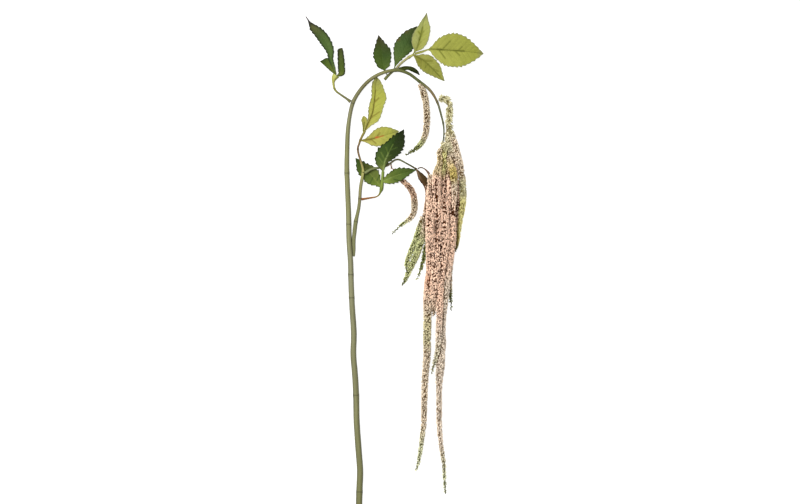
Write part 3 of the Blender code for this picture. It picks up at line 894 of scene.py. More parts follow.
# %% [markdown]
# The blade's colour is a tag, painted from the stalk to the tip on each side of the midrib, with
# a thin rim and a few stains. The shader adds what is too fine for the mesh: the midrib and side
# veins, a net of small veins, and blotches. The `blade` tag holds the place along the veins, the
# distance from the midrib and how near the edge is, so the veins follow each leaf's own shape.

# %% Leaf finishes
# The edges are where a mark starts to fade and where it has ended, in millimetres from its
# middle. The net's are shares of its cells, and the side veins also fade on the way out.
VEIN_WANDER = (160.0, 2.2)  # how often to the metre, and how far
VEIN_EDGE = (0.15, 0.75)
VEIN_FADE = (0.45, 0.95)  # shares of the way from the midrib to the edge
RIB_EDGE = (0.25, 0.95)
NET_EDGE = (0.02, 0.16)
FINE_VEINS = 1.3
FINE_WANDER = 1.6
FINE_LIGHT = 0.07
NET = 620.0  # cells to the metre
PATCHES = 42.0
LEAF_GRAIN = 420.0
GRAIN_LIGHT = 0.22
NET_HEIGHT = -0.5
VEIN_HEIGHT = -0.8
LEAF_GLOSS = 0.06
LEAF_RELIEF = 0.22 * MM


def leaf_finish(name, roughness, light, midrib, veins, net, blotch):
    """A leaf's skin. Each mark is how much of the light it takes, or gives where it is negative."""
    finish = Finish(name, roughness, LEAF_GLOSS)
    blade = finish.split(finish.attribute("blade")["Vector"])
    place = finish.place()
    reach = finish.maths("ABSOLUTE", blade["Y"])
    right = finish.maths("LESS_THAN", blade["Y"], 0.0) * (0.5 * VEIN_PITCH)
    wander = (finish.noise(place, VEIN_WANDER[0]) - 0.5) * VEIN_WANDER[1]
    from_vein = finish.maths("PINGPONG", blade["X"] + right + wander, VEIN_PITCH / 2)
    fade = 1 - finish.step(blade["Z"], *VEIN_FADE)
    rib_mask = 1 - finish.step(reach, *RIB_EDGE)
    vein_mask = (1 - finish.step(from_vein, *VEIN_EDGE)) * fade
    fine = finish.maths("PINGPONG", blade["X"] + wander * FINE_WANDER, FINE_VEINS)
    fine = fine - FINE_VEINS / 2
    inputs = {"Vector": place, "Scale": NET}
    cells = finish.add("ShaderNodeTexVoronoi", inputs, feature="DISTANCE_TO_EDGE")
    net_mask = 1 - finish.step(cells, *NET_EDGE)
    patches = finish.noise(place, PATCHES, 3.0) - 0.5
    grain = finish.noise(place, LEAF_GRAIN, 3.0) - 0.5
    light = (light - rib_mask * midrib) * (1 - vein_mask * veins) * (1 - net_mask * net)
    light = light + patches * blotch + grain * GRAIN_LIGHT + fine * FINE_LIGHT
    colour = finish.scaled(finish.attribute("tone")["Color"], light)
    relief = net_mask * NET_HEIGHT + vein_mask * VEIN_HEIGHT + rib_mask * VEIN_HEIGHT + grain
    return finish.wear(colour, relief, LEAF_RELIEF)


DARK_LEAF = ("dark_leaf", leaf_finish("dark_leaf_skin", 0.48, 0.84, -0.22, -0.2, 0.06, 0.5))
PALE_LEAF = ("pale_leaf", leaf_finish("pale_leaf_skin", 0.5, 0.98, 0.3, 0.14, 0.05, 0.24))
BRACT = ("bract", leaf_finish("bract_skin", 0.6, 0.8, -0.1, -0.15, 0.1, 0.6))
print("leaf finishes are ready")

# %% [markdown]
# The leaves at the left of the arch are dark and folded along the midrib, so both halves stand up
# steeply. One of them ends in a long brown thread.

# %% Left leaves
DARK_RIM = tone(30, 38, 20)

leaf(
    "left_leaf_long", DARK_LEAF, tone(24, 32, 16), (-48, 50),
    (
        (-118, 377, 0.7, 0.8, 0.8), (-123, 393, 3, 3, 2.5), (-128, 409, 5, 5, 5),
        (-130, 421, 6, 6, 8.5), (-138, 443, 6, 11, 10), (-154, 462, 4, 9, 10),
        (-165, 474, 1, 7, 5.5), (-171, 482, -1, 2.4, 2.2), (-173.5, 486.5, -2.5, 1.2, 1.2),
        (-178.5, 494, -4, 0.8, 0.8),
    ),
    (
        (0, 100, 112, 48), (0.2, 84, 110, 50), (0.6, 82, 106, 48), (0.82, 92, 94, 50),
        (0.88, 46, 44, 34), (1, 86, 74, 76),
    ),
    (
        (0, 104, 116, 52), (0.2, 92, 120, 56), (0.6, 88, 110, 52), (0.82, 98, 98, 56),
        (0.88, 46, 44, 34), (1, 86, 74, 76),
    ),
    tooth=1.6, rim_width=2.6,
)
leaf(
    "left_leaf_small", DARK_LEAF, DARK_RIM, (8, 4),
    (
        (-117.4, 377.8, 0, 1, 1), (-122, 383, -0.5, 3, 5), (-128, 389, -1, 4, 11),
        (-135, 395, -2, 3.5, 15.5), (-142, 400, -3, 2.5, 13.5), (-150, 404.5, -4, 0.6, 0.6),
    ),
    ((0, 116, 128, 50), (0.6, 92, 114, 40), (1, 50, 66, 26)),
    tooth=1.2, rim_width=1.8,
)
leaf(
    "left_leaf_upright", DARK_LEAF, tone(24, 30, 14), (-50, 54),
    (
        (-117, 375.2, 0.8, 0.8, 0.8), (-112.5, 376.4, 1.6, 2.8, 3.5), (-108, 380, 2.5, 6, 7),
        (-107, 391, 4, 7, 7), (-108, 407, 4, 6.5, 7), (-108, 419, 3, 6.5, 5.5),
        (-107, 427, 1.8, 6.5, 3.5), (-105.6, 430.6, 1, 0.8, 0.8),
    ),
    ((0, 112, 122, 48), (0.35, 86, 106, 40), (0.8, 86, 98, 42), (1, 70, 72, 36)),
    tooth=1.0, rim_width=2.4,
)
print("left leaves are made")

# %% [markdown]
# Two broad dark leaves stand on the arch, lying nearly flat, and a third is curled like a gutter.
# One has brown stains along its upper edge.

# %% Dark leaves on the arch
leaf(
    "top_leaf_dark_short", DARK_LEAF, DARK_RIM, (16, 12),
    (
        (-14.5, 376, 0, 1, 1), (-19.5, 383, -0.5, 0.8, 1.5), (-21.5, 387.5, -0.5, 1.8, 3.5),
        (-22.5, 392, 0, 9, 11), (-24, 400, 0.4, 13.5, 15), (-25.5, 412, 1, 17, 18),
        (-26.5, 424, 1, 17, 18), (-29, 438, 0, 11, 10.5), (-33, 457, -2, 0.6, 0.6),
    ),
    ((0, 96, 112, 46), (0.25, 88, 112, 44), (0.6, 74, 96, 38), (1, 66, 56, 36)),
    ((0, 96, 112, 46), (0.25, 88, 110, 46), (0.5, 66, 90, 34), (1, 66, 56, 36)),
)
leaf(
    "top_leaf_dark_long", DARK_LEAF, DARK_RIM, (3, -4),
    (
        (-4, 385, 0, 1, 1), (0, 395, 0, 1.5, 1.5), (4.5, 404, 0, 7, 4), (11, 416, 0, 16, 8),
        (18, 428, 0, 22, 13), (26, 441, 0, 22, 15), (33, 456, -0.5, 16, 12),
        (44, 475, -2, 0.6, 0.6),
    ),
    ((0, 100, 116, 48), (0.3, 92, 116, 56), (0.6, 76, 102, 48), (1, 66, 74, 37)),
    ((0, 100, 116, 48), (0.3, 90, 112, 50), (0.6, 74, 98, 43), (1, 60, 66, 32)),
    spots=(
        (6, 449, 4, tone(112, 100, 53)), (22, 466, 5, tone(104, 96, 50)),
        (33, 443, 7, tone(48, 70, 29)),
    ),
)
leaf(
    "top_leaf_dark_curled", DARK_LEAF, DARK_RIM, (60, -25),
    (
        (6.8, 391.3, 0, 0.8, 0.8), (12, 390, 0.2, 3, 2.8), (19, 390.5, 1, 4, 3.8),
        (26, 391, 2.5, 3.5, 3.5), (33, 389.3, 3.5, 4, 4.4), (40, 386, 3.5, 3.5, 4.5),
        (45, 382, 2.5, 2.5, 3), (49, 377, 1, 0.6, 0.6),
    ),
    ((0, 104, 112, 46), (0.5, 78, 90, 34), (1, 34, 40, 16)),
    ((0, 92, 100, 42), (0.5, 56, 68, 24), (1, 26, 32, 12)),
    tooth=0.7,
)
print("dark leaves on the arch are made")

# %% [markdown]
# The pale leaves are yellow green, with a dull grey rim on their teeth. Their midribs and a few of
# their side veins have dried dark. No rule places those few, so each is a painted mark.

# %% Pale leaves
PALE_RIM = tone(132, 132, 98)
PALE_VEIN = tone(126, 130, 50)
DEEP_VEIN = tone(134, 122, 46)

leaf(
    "top_leaf_pale_upper", PALE_LEAF, PALE_RIM, (10, 14),
    (
        (35.4, 417.4, 0, 0.8, 0.8), (39.8, 424, 1.5, 2.5, 2), (44.5, 432, 3.5, 11.5, 10),
        (49, 445, 5, 16, 16), (52, 458, 5, 15, 17), (55, 471, 4, 10, 16), (58, 485, 2, 5, 10),
        (61.5, 495, 0, 2, 4), (63.5, 501, -1, 0.6, 0.6),
    ),
    ((0, 162, 162, 84), (0.3, 172, 176, 100), (0.8, 166, 172, 98), (1, 140, 140, 100)),
    ((0, 162, 162, 84), (0.5, 166, 170, 82), (0.8, 164, 168, 92), (1, 140, 140, 100)),
    tooth=0.9,
    spots=((49, 462, 5, tone(158, 166, 70)),),
    marks=(
        ((41, 419), (49, 447), 1.5, PALE_VEIN), ((49, 447), (52.4, 457), 2.2, tone(108, 116, 34)),
        ((52.4, 457), (55.4, 472), 1.7, PALE_VEIN), ((52, 456), (46.5, 463), 1.2, PALE_VEIN),
        ((52.4, 457), (58, 464), 1.2, PALE_VEIN), ((46, 434), (52, 443), 1.0, PALE_VEIN),
    ),
)
leaf(
    "top_leaf_pale_large", PALE_LEAF, PALE_RIM, (14, 12),
    (
        (39.7, 419.4, 0, 1, 1), (56, 424, 2, 1.2, 1.2), (68, 428, 3.5, 1.8, 3),
        (82, 427.5, 4.5, 18, 18), (100, 427, 5, 30, 31), (119, 425.5, 4, 34, 33),
        (138, 424, 2, 29, 30), (158, 422, -2, 16, 18), (177, 420, -6, 0.6, 0.6),
    ),
    ((0, 186, 186, 92), (0.2, 174, 176, 84), (0.9, 164, 168, 72), (1, 146, 146, 96)),
    tooth=2.8,
    marks=(
        ((69, 428.6), (91, 427.2), 1.7, PALE_VEIN), ((91, 427.2), (119, 425.4), 1.5, PALE_VEIN),
        ((119, 425.4), (138, 424.6), 1.8, tone(112, 116, 42)),
        ((85, 428), (95, 426.8), 2.0, tone(108, 112, 40)),
        ((97, 430), (111, 444.4), 1.4, PALE_VEIN), ((89, 425), (100, 410), 1.4, PALE_VEIN),
        ((120, 425), (129.4, 415.8), 1.5, PALE_VEIN), ((127, 426), (134, 433), 1.2, PALE_VEIN),
        ((108, 427), (121, 440), 1.0, tone(148, 151, 64)),
        ((104, 424), (114, 412), 1.0, tone(148, 151, 64)),
    ),
    stalk=2.4,
)
leaf(
    "top_leaf_pale_lower", PALE_LEAF, PALE_RIM, (2, 6),
    (
        (37.4, 416.4, 0, 1, 1), (42.5, 414, -0.5, 3, 6), (50, 410.5, -1.5, 9, 13),
        (61, 403, -3, 16.5, 17), (70, 395, -4, 16.5, 17), (79, 386, -6, 15, 13),
        (88, 376, -8, 9, 7), (99, 365, -10, 0.6, 0.6),
    ),
    ((0, 162, 162, 84), (0.5, 162, 164, 78), (0.9, 160, 162, 76), (1, 136, 136, 96)),
    ((0, 150, 150, 70), (0.4, 148, 150, 64), (0.9, 158, 160, 74), (1, 136, 136, 96)),
    tooth=1.6,
    spots=((48, 404, 4, tone(132, 132, 48)),),
    marks=(
        ((41, 415), (58, 406), 2.0, tone(120, 120, 42)), ((58, 406), (72, 393), 1.5, PALE_VEIN),
        ((72, 393), (90, 374), 1.2, PALE_VEIN), ((62, 405), (74, 405), 1.7, tone(120, 120, 42)),
        ((66, 399), (60, 391), 1.2, PALE_VEIN), ((76, 390), (86, 385), 1.2, PALE_VEIN),
    ),
)
leaf(
    "inner_leaf_pale_long", PALE_LEAF, PALE_RIM, (45, 8),
    (
        (-60.5, 264.6, 0, 1, 1), (-54, 279, 1.5, 3, 8), (-48, 292, 2, 6, 16.5),
        (-44, 304, 2, 9.5, 18), (-42, 318, 1, 9, 20), (-40, 333, -1, 7, 23),
        (-39, 348, -4, 8, 17.5), (-38, 360, -6, 7.5, 12.5), (-37, 367.5, -7.3, 5, 7),
        (-36.5, 373, -8.2, 0.6, 0.6),
    ),
    ((0, 232, 226, 116), (0.3, 226, 224, 110), (0.7, 216, 218, 100), (1, 180, 180, 100)),
    ((0, 194, 190, 98), (0.3, 177, 178, 80), (0.7, 174, 176, 76), (1, 150, 150, 86)),
    tooth=1.4,
    marks=(
        ((-60.5, 264.6), (-54.5, 278), 2.2, DEEP_VEIN),
        ((-54.5, 278), (-48, 291.5), 1.8, DEEP_VEIN), ((-48, 291.5), (-44, 304), 1.6, DEEP_VEIN),
        ((-44, 304), (-40.6, 327), 1.5, DEEP_VEIN), ((-40.6, 327), (-39.2, 346), 1.2, DEEP_VEIN),
        ((-47.8, 291.8), (-31, 303), 1.3, DEEP_VEIN), ((-40.6, 323), (-32.4, 331), 1.3, DEEP_VEIN),
    ),
    stalk=1.6,
)
leaf(
    "inner_leaf_pale_small", PALE_LEAF, PALE_RIM, (12, 4),
    (
        (-63.9, 263.8, 0, 1, 1), (-62, 273, -1, 3, 3), (-61, 282, -2, 5.5, 6),
        (-62, 289, -3, 5.5, 6), (-63.5, 295, -4, 1, 2),
    ),
    ((0, 184, 176, 88), (1, 176, 174, 80)),
    tooth=0.9,
    marks=(((-63.6, 264), (-61.5, 282), 1.5, PALE_VEIN),),
)
leaf(
    "inner_leaf_pale_side", PALE_LEAF, PALE_RIM, (6, 6),
    (
        (-69, 246, 0, 1, 1), (-59, 246, -0.5, 4, 4), (-48, 248, -1.5, 10, 13),
        (-35, 252, -2.5, 16.5, 18), (-22, 256, -3.5, 18, 17), (-8, 260, -5, 13, 12),
        (8, 265, -7, 0.6, 0.6),
    ),
    ((0, 192, 180, 92), (0.3, 186, 182, 88), (0.8, 178, 180, 80), (1, 150, 152, 90)),
    tooth=1.6,
    marks=(
        ((-69, 246.4), (-48, 248.2), 2.2, DEEP_VEIN), ((-48, 248.2), (-36, 252.2), 1.8, DEEP_VEIN),
        ((-45, 246), (-38, 240), 1.3, DEEP_VEIN), ((-35, 255), (-30, 261.5), 1.4, DEEP_VEIN),
        ((-38, 252), (-34, 252.6), 1.8, tone(222, 110, 62)),
        ((-34, 252.6), (-23, 255.6), 1.1, tone(196, 116, 52)),
    ),
    stalk=1.6,
)
print("pale leaves are made")

# %% [markdown]
# Three dark leaves share the lower twig. The large one is folded enough that its right half lies
# in shade, so the two halves are painted apart. All three are lighter where they join the twig,
# and their veins are lighter than the blade.

# %% Lower leaves
LIGHT_VEIN = tone(142, 160, 90)
leaf(
    "lower_leaf_dark_large", DARK_LEAF, DARK_RIM, (14, 12),
    (
        (-24.2, 182, 0, 1, 1), (-23.7, 187, 0.3, 4, 2.5), (-23, 193, 0.7, 12, 4),
        (-22, 199, 1, 17, 6), (-19.5, 210, 1.5, 20.5, 13), (-15, 221, 2, 20, 19),
        (-7, 235, 2.5, 13, 23), (4, 251, 2, 8, 19), (18, 268, 0.5, 0.6, 0.6),
    ),
    ((0, 112, 130, 60), (0.25, 88, 112, 50), (0.6, 62, 86, 34), (1, 28, 38, 14)),
    ((0, 116, 128, 58), (0.2, 78, 90, 36), (0.4, 48, 66, 18), (1, 28, 40, 10)),
    tooth=3.2, rim_width=2.0,
    spots=((-8, 200, 4, tone(136, 124, 67)), (-24, 190, 6, tone(150, 160, 80))),
    marks=(
        ((-24, 182), (-21, 203), 1.6, LIGHT_VEIN), ((-21, 203), (-13, 221), 1.3, LIGHT_VEIN),
        ((-13, 221), (-4, 238), 0.9, tone(96, 118, 48)),
        ((-22, 199), (-33, 212), 1.0, tone(124, 146, 67)),
        ((-20, 207), (-28, 222), 1.0, tone(124, 146, 67)),
        ((-17, 212), (-7, 217), 0.9, tone(84, 106, 42)),
        ((-14, 219), (-18, 232), 0.9, tone(112, 136, 59)),
        ((-10, 226), (4, 232), 0.9, tone(72, 94, 35)),
    ),
    stalk=2.2,
)
leaf(
    "lower_leaf_dark_right", DARK_LEAF, DARK_RIM, (10, 8),
    (
        (-25, 164, 0, 1, 2), (-20, 166.5, 0.5, 5, 8), (-13, 170, 1, 8, 12), (-3, 174, 1, 11.5, 14),
        (8, 178, 0.5, 13, 13), (20, 181.5, 0, 10, 9.5), (31, 184.5, -0.5, 6, 5),
        (42, 187, -1, 0.6, 0.6),
    ),
    ((0, 140, 156, 62), (0.3, 112, 132, 56), (0.6, 92, 116, 48), (1, 70, 88, 37)),
    tooth=2.6,
    marks=(
        ((-25, 164.5), (-8, 172.5), 1.5, LIGHT_VEIN),
        ((-8, 172.5), (12, 179), 0.9, tone(120, 138, 62)),
        ((-14, 170), (-12, 178), 1.2, tone(124, 144, 66)),
        ((-2, 168), (14, 164), 1.4, tone(62, 84, 32)),
    ),
)
leaf(
    "lower_leaf_dark_left", DARK_LEAF, DARK_RIM, (2, 2),
    (
        (-28, 152, 0, 1, 1), (-32, 158, -1.5, 6, 4), (-37, 165, -3.5, 13, 10),
        (-45, 174, -6, 17.5, 16), (-54, 183, -8, 17, 16), (-64, 194, -9, 15, 10),
        (-71, 203, -9.5, 9, 5), (-79, 211, -10, 0.6, 0.6),
    ),
    ((0, 120, 138, 52), (0.4, 98, 118, 46), (0.7, 84, 106, 38), (1, 52, 80, 28)),
    ((0, 120, 138, 52), (0.4, 108, 122, 54), (0.7, 84, 100, 38), (1, 50, 70, 24)),
    tooth=2.8,
    spots=((-55, 194, 6, tone(84, 90, 34)),),
    marks=(
        ((-28, 153), (-45, 174), 1.3, tone(132, 146, 67)),
        ((-45, 174), (-60, 190), 1.0, tone(116, 130, 56)),
        ((-44, 172), (-50, 160), 1.2, tone(70, 92, 35)),
        ((-36, 166), (-30, 178), 1.2, tone(72, 94, 37)),
    ),
)
leaf(
    "brown_bract", BRACT, tone(50, 34, 18), (-8, -10),
    (
        (42.6, 188.8, 0, 1, 1), (46.5, 181.5, 0.4, 4.4, 3), (52, 172.5, 0.8, 7.8, 6),
        (58, 164, 0.8, 9, 6), (62.5, 155, 0.4, 7, 4.5), (64.5, 146, 0.2, 4, 3.5),
        (65, 139, 0, 0.6, 0.6),
    ),
    ((0, 120, 92, 62), (0.25, 88, 70, 38), (0.6, 76, 56, 28), (1, 110, 70, 44)),
    ((0, 176, 146, 116), (0.3, 136, 106, 74), (0.45, 92, 68, 40), (1, 110, 72, 46)),
    tooth=0.8,
)
print("lower leaves and bract are made")

# %% [markdown]
# ## Tassels
# A tassel of amaranth is a thin stalk packed with thousands of tiny buds, each a little pointed
# and turned towards the tassel's tip. Buds that were modelled one by one would take far too many
# faces, so each is a sphere of thirty triangles. The tree scatters points over a lumpy rod, at even
# distances, and puts a bud on each. In small pits the buds are sunken and show the dark stalk, and
# they are painted all over in the gap's colour as painted shade. The pits are cells of a pattern
# that is laid out flat, round and along the tassel. They are wider along the furrows in which the
# bundle's tassels part, which paints those furrows dark with painted shade, and the buds are
# painted darker, as painted shade, where two thick tassels touch: the tree measures the distance
# to the furrows and to the other tassels. The thread's tags give the tassel's middle line, how
# thick it and its rod are, how dense and how long its buds are, and their two colours.

# %% The beaded tassel tree
CORE_SIDES = 14
CORE_DEPTH = 0.7 * MM  # of the rod under the frame's tube
CORE_SHARE = 0.4
LUMPS = 130.0  # to the metre
LUMP_DEPTH = 0.28  # of the rod's radius
BUD_SEGMENTS = 5
BUD_RINGS = 4
BUD_GAP = 2.1 * MM
BUD_WIDTH = 1.75 * MM
BUD_LENGTH = 2.1 * MM
BUD_TAPER = 0.4
BUD_SINK = 0.45
BUD_STRAY = 0.35
BUD_SIZES = (0.8, 1.15)
SUNKEN_SIZE = 0.65
OPEN_SIZE = 1.1
BUD_SHADES = (0.68, 1.12)
MOST_BUDS = 1e6  # to the square metre, which the gap between them never lets them reach
FULL_RADIUS = 4.6 * MM  # of a tassel from which its buds have their full size
THINNEST = 0.75  # size of the buds on a thin tassel
PITS_AROUND = 200.0  # to the metre
PITS_ALONG = 165.0
PIT_SHIFT = 7.3  # from one tassel's pattern to the next one's
PIT_DISORDER = 0.85
PIT_WIDTH = (0.1, 0.31)  # shares of a pit's field that are its floor and its whole
PIT_DEPTH = 1.3 * MM
PEEK = (0, 0, 2.0 * MM)  # how far over a bud the distance to the other tassels is measured
TOUCHING = (2.6 * MM, 4.6 * MM)  # distances at which they shade the bud fully and not at all
UNEVEN = (38.0, 6.0 * MM)  # how often to the metre those distances come and go, and how much
FURROW_WIDTH = 3.0 * MM  # on either side of its line
FURROW_PULL = 0.34  # how much wider the pits are on the line
TIP_REACH = 2.0 * MM  # how far over its seat a bud's tip is taken to be
THICK = (5.4 * MM, 7.0 * MM)  # radii of a tassel from which it starts to be shaded, and is in full


def bud_shape(nodes):
    """A pointed bud that stands on its base, with a tag that rises from 0 to 1 up its height."""
    inputs = {"Segments": BUD_SEGMENTS, "Rings": BUD_RINGS, "Radius": 1.0}
    sphere = nodes.add("GeometryNodeMeshUVSphere", inputs)
    place = nodes.split(nodes.add("GeometryNodeInputPosition"))
    rise = place["Z"] * 0.5 + 0.5
    sphere = stored(nodes, sphere, "rise", rise)
    slim = (1.0 - rise * BUD_TAPER) * BUD_WIDTH
    length = (place["Z"] + (1 - 2 * BUD_SINK)) * BUD_LENGTH
    shape = nodes.vector(place["X"] * slim, place["Y"] * slim, length)
    return nodes.add("GeometryNodeSetPosition", {"Geometry": sphere, "Position": shape})


def spread(nodes, low, high, seed):
    """A random number for each bud."""
    return nodes.add("FunctionNodeRandomValue", {2: low, 3: high, 8: seed}, data_type="FLOAT")[1]


def bud_direction(nodes, normal, droop, seed):
    """Outwards and a little towards the tip, with some disorder."""
    inputs = {0: (-BUD_STRAY,) * 3, 1: (BUD_STRAY,) * 3, 8: seed}
    stray = nodes.add("FunctionNodeRandomValue", inputs, data_type="FLOAT_VECTOR")
    lean = nodes.scaled(named(nodes, "heading", "FLOAT_VECTOR"), droop)
    way = nodes.vectors("ADD", nodes.vectors("ADD", normal, lean), stray)
    turn = nodes.add("FunctionNodeAlignRotationToVector", {"Vector": way}, axis="Z")
    inputs = {"Axis": (0, 0, 1), "Angle": spread(nodes, 0.0, 2 * math.pi, seed)}
    spin = nodes.add("FunctionNodeAxisAngleToRotation", inputs)
    return nodes.add("FunctionNodeRotateRotation", [turn, spin], rotation_space="LOCAL")


def distance_to(nodes, thing, place):
    """The distance from a place to the nearest face of an object."""
    faces = nodes.add("GeometryNodeObjectInfo", {"Object": thing})["Geometry"]
    inputs = {"Geometry": faces, "Sample Position": place}
    return nodes.add("GeometryNodeProximity", inputs)["Distance"]


def pit_cell(nodes, place, seed):
    """How far a place is from the middle of the nearest pit."""
    offset = nodes.vectors("SUBTRACT", place, named(nodes, "middle", "FLOAT_VECTOR"))
    side = nodes.vectors("CROSS_PRODUCT", named(nodes, "heading", "FLOAT_VECTOR"), (0, 0, 1))
    across = nodes.vectors("DOT_PRODUCT", offset, side)["Value"]
    angle = nodes.maths("ARCTAN2", across, nodes.split(offset)["Z"])
    around = angle * named(nodes, "radius") * PITS_AROUND
    along = named(nodes, "along") * PITS_ALONG + seed * PIT_SHIFT
    flat = nodes.vector(around, along, 0.0)
    inputs = {"Vector": flat, "Scale": 1.0, "Randomness": PIT_DISORDER}
    return nodes.add("ShaderNodeTexVoronoi", inputs, voronoi_dimensions="2D")


def openness(nodes, place, normal, given):
    """How far out of a pit a bud is, and how near another tassel, both from 0 to 1."""
    away = distance_to(nodes, given["Neighbours"], nodes.vectors("ADD", place, PEEK))
    away = away + (nodes.noise(place, UNEVEN[0], 1.0) - 0.5) * UNEVEN[1]
    thick = nodes.step(named(nodes, "radius"), *THICK)
    crevice_shade = (1 - nodes.step(away, *TOUCHING)) * thick
    tip = nodes.vectors("ADD", place, nodes.scaled(normal, TIP_REACH))
    furrow = 1 - nodes.step(distance_to(nodes, given["Furrows"], tip), 0.0, FURROW_WIDTH)
    cell = pit_cell(nodes, place, given["Seed"]) - furrow * FURROW_PULL
    return nodes.step(cell, *PIT_WIDTH), crevice_shade


def seated_points(nodes, stalk, given):
    """Evenly spread points on the rod, as many as the cover tag says."""
    inputs = {
        "Mesh": stalk,
        "Distance Min": given["Gap"],
        "Density Max": MOST_BUDS,
        "Density Factor": named(nodes, "cover"),
        "Seed": given["Seed"],
    }
    kind = "GeometryNodeDistributePointsOnFaces"
    return nodes.add(kind, inputs, distribute_method="POISSON")


def beaded_tassel():
    inputs = {"Gap": "Float", "Droop": "Float", "Seed": "Int"}
    inputs.update({"Neighbours": "Object", "Furrows": "Object"})
    nodes, given = tree_with("Beaded tassel", inputs)
    line = nodes.add("GeometryNodeMeshToCurve", {"Mesh": given["Thread"]})
    core = named(nodes, "core")
    stalk = swept(nodes, line, circle(nodes, CORE_SIDES), core)
    place = nodes.add("GeometryNodeInputPosition")
    lumps = (nodes.noise(place, LUMPS) - 0.5) * (LUMP_DEPTH * core)
    stalk = moved(nodes, stalk, nodes.scaled(nodes.add("GeometryNodeInputNormal"), lumps))
    points = seated_points(nodes, stalk, given)
    normal = points["Normal"]
    girth = named(nodes, "radius") * (1 / FULL_RADIUS)
    girth = nodes.maths("MINIMUM", nodes.maths("MAXIMUM", girth, THINNEST), 1.0)
    bulge, crevice_shade = openness(nodes, place, normal, given)
    lift = nodes.scaled(normal, girth * bulge * PIT_DEPTH)
    # open is 0 in pits and where thick tassels touch: there the finish paints the whole bud in the
    # gap's colour, as painted shade.
    seats = stored(nodes, points, "open", bulge * (1 - crevice_shade))
    seats = stored(nodes, seats, "lift", lift, kind="FLOAT_VECTOR")
    fullness = bulge * (OPEN_SIZE - SUNKEN_SIZE) + SUNKEN_SIZE
    size = girth * spread(nodes, *BUD_SIZES, given["Seed"]) * fullness
    size = nodes.vector(size, size, size * named(nodes, "reach"))
    way = bud_direction(nodes, normal, given["Droop"], given["Seed"])
    inputs = {"Points": seats, "Instance": bud_shape(nodes), "Rotation": way, "Scale": size}
    buds = nodes.add("GeometryNodeInstanceOnPoints", inputs)
    shade = spread(nodes, *BUD_SHADES, given["Seed"])
    buds = stored(nodes, buds, "shade", shade, domain="INSTANCE")
    lift = named(nodes, "lift", "FLOAT_VECTOR")
    inputs = {"Instances": buds, "Translation": lift, "Local Space": False}
    buds = nodes.add("GeometryNodeTranslateInstances", inputs)
    buds = nodes.add("GeometryNodeRealizeInstances", {"Geometry": buds})
    join = nodes.tree.nodes.new("GeometryNodeJoinGeometry")
    for part in (stored(nodes, stalk, "shade", 1.0), buds):
        nodes.feed(join.inputs["Geometry"], part)
    return ended(nodes, Socket(nodes, join.outputs[0]), given["Finish"])


BEADED_TASSEL = beaded_tassel()
print("tassel tree:", len(BEADED_TASSEL.nodes), "nodes")

# %% [markdown]
# One finish serves every tassel. It goes from the gap's colour at a bud's base to the bud's own
# colour at its tip, and each bud is a little lighter or darker than the next. Buds that stand at
# all angles shade each other, so their own colour is lighter than the one that is seen.

# %% Bud finish
BUD_GAIN = 1.3
BUD_MOTTLE = (900.0, 0.4)  # spots to the metre, and how much lighter or darker they are
BUD_GRAIN = 2500.0
BUD_FOOT = (0.05, 0.5)  # shares of its height where the gap's colour ends
BUD_RELIEF = 0.1 * MM


def bud_finish():
    finish = Finish("bud_skin", 0.75, 0.03)
    place = finish.place()
    rise = finish.attribute("rise")["Fac"]
    # A bud's foot takes the gap's colour, partly the stalk's own dark colour and partly painted
    # shade between the buds. Where open is 0, the whole bud is painted shade.
    tips = finish.step(rise, *BUD_FOOT) * finish.attribute("open")["Fac"]
    mottle = (finish.noise(place, BUD_MOTTLE[0]) - 0.5) * BUD_MOTTLE[1]
    shade = finish.attribute("shade")["Fac"] + mottle
    gap = finish.attribute("gap")["Color"]
    bud = finish.scaled(finish.attribute("tone")["Color"], shade * BUD_GAIN)
    return finish.wear(finish.mixed(tips, gap, bud), finish.noise(place, BUD_GRAIN), BUD_RELIEF)


BUD_SKIN = bud_finish()
print("finish:", BUD_SKIN.name)

# %% [markdown]
# Most of the tassels have dried to pink and straw, and their tips have stayed green. A few thin
# ones are green all along. Each colour is a pair: the buds, and the gap between them, which is
# partly the dark stalk's own colour and partly painted shade.

# %% Tassel colours
PINK = ((246, 211, 185), (78, 38, 12))
# DUSK is a darker pink. On the right thin tassel it is painted shade, where that tassel lies low in
# the bundle.
DUSK = ((200, 168, 142), (76, 42, 16))
RUST = ((226, 182, 152), (110, 50, 18))
STRAW = ((222, 205, 180), (122, 96, 62))
BLUSH = ((232, 216, 196), (142, 120, 94))
DULL = ((206, 189, 161), (96, 70, 38))
TIP = ((210, 210, 172), (88, 92, 50))
MOSS = ((212, 202, 162), (96, 82, 44))
OLIVE = ((196, 198, 144), (70, 76, 26))
PALE_GREEN = ((202, 196, 156), (138, 126, 76))
HEAD = ((226, 218, 184), (174, 162, 126))
LEAFY = ((222, 214, 144), (148, 132, 74))
SHEATH = ((226, 205, 162), (134, 112, 70))
NECK = ((216, 210, 148), (146, 130, 70))
BRIGHT = ((204, 184, 112), (88, 68, 12))
FOREST = ((136, 142, 84), (46, 50, 20))
# The colour of dark rods put where there is only shade deep in the bundle: painted shade.
SHADE_STALK_TONE = tone(92, 46, 18)
SHADE_STALK_WOBBLE = 1.0 * MM
TASSEL_STEP = 2.0
BUD_DROOP = 0.75
COURSES = (("cover", 1.0), ("reach", 1.0), ("girth", 1.04), ("thin", 1.0))  # usual values
FURROW_TOP = 60.0 * MM
FURROWS = (
    ((81.5, 166), (82, 157), (84, 127), (84.5, 107), (84, 87), (83, 57), (78, 27), (76, -23)),
    ((103, 185), (102.5, 155), (100, 137), (97, 107), (95, 62), (92, 27), (90.5, 3)),
)
seeds = iter(range(1, 100))


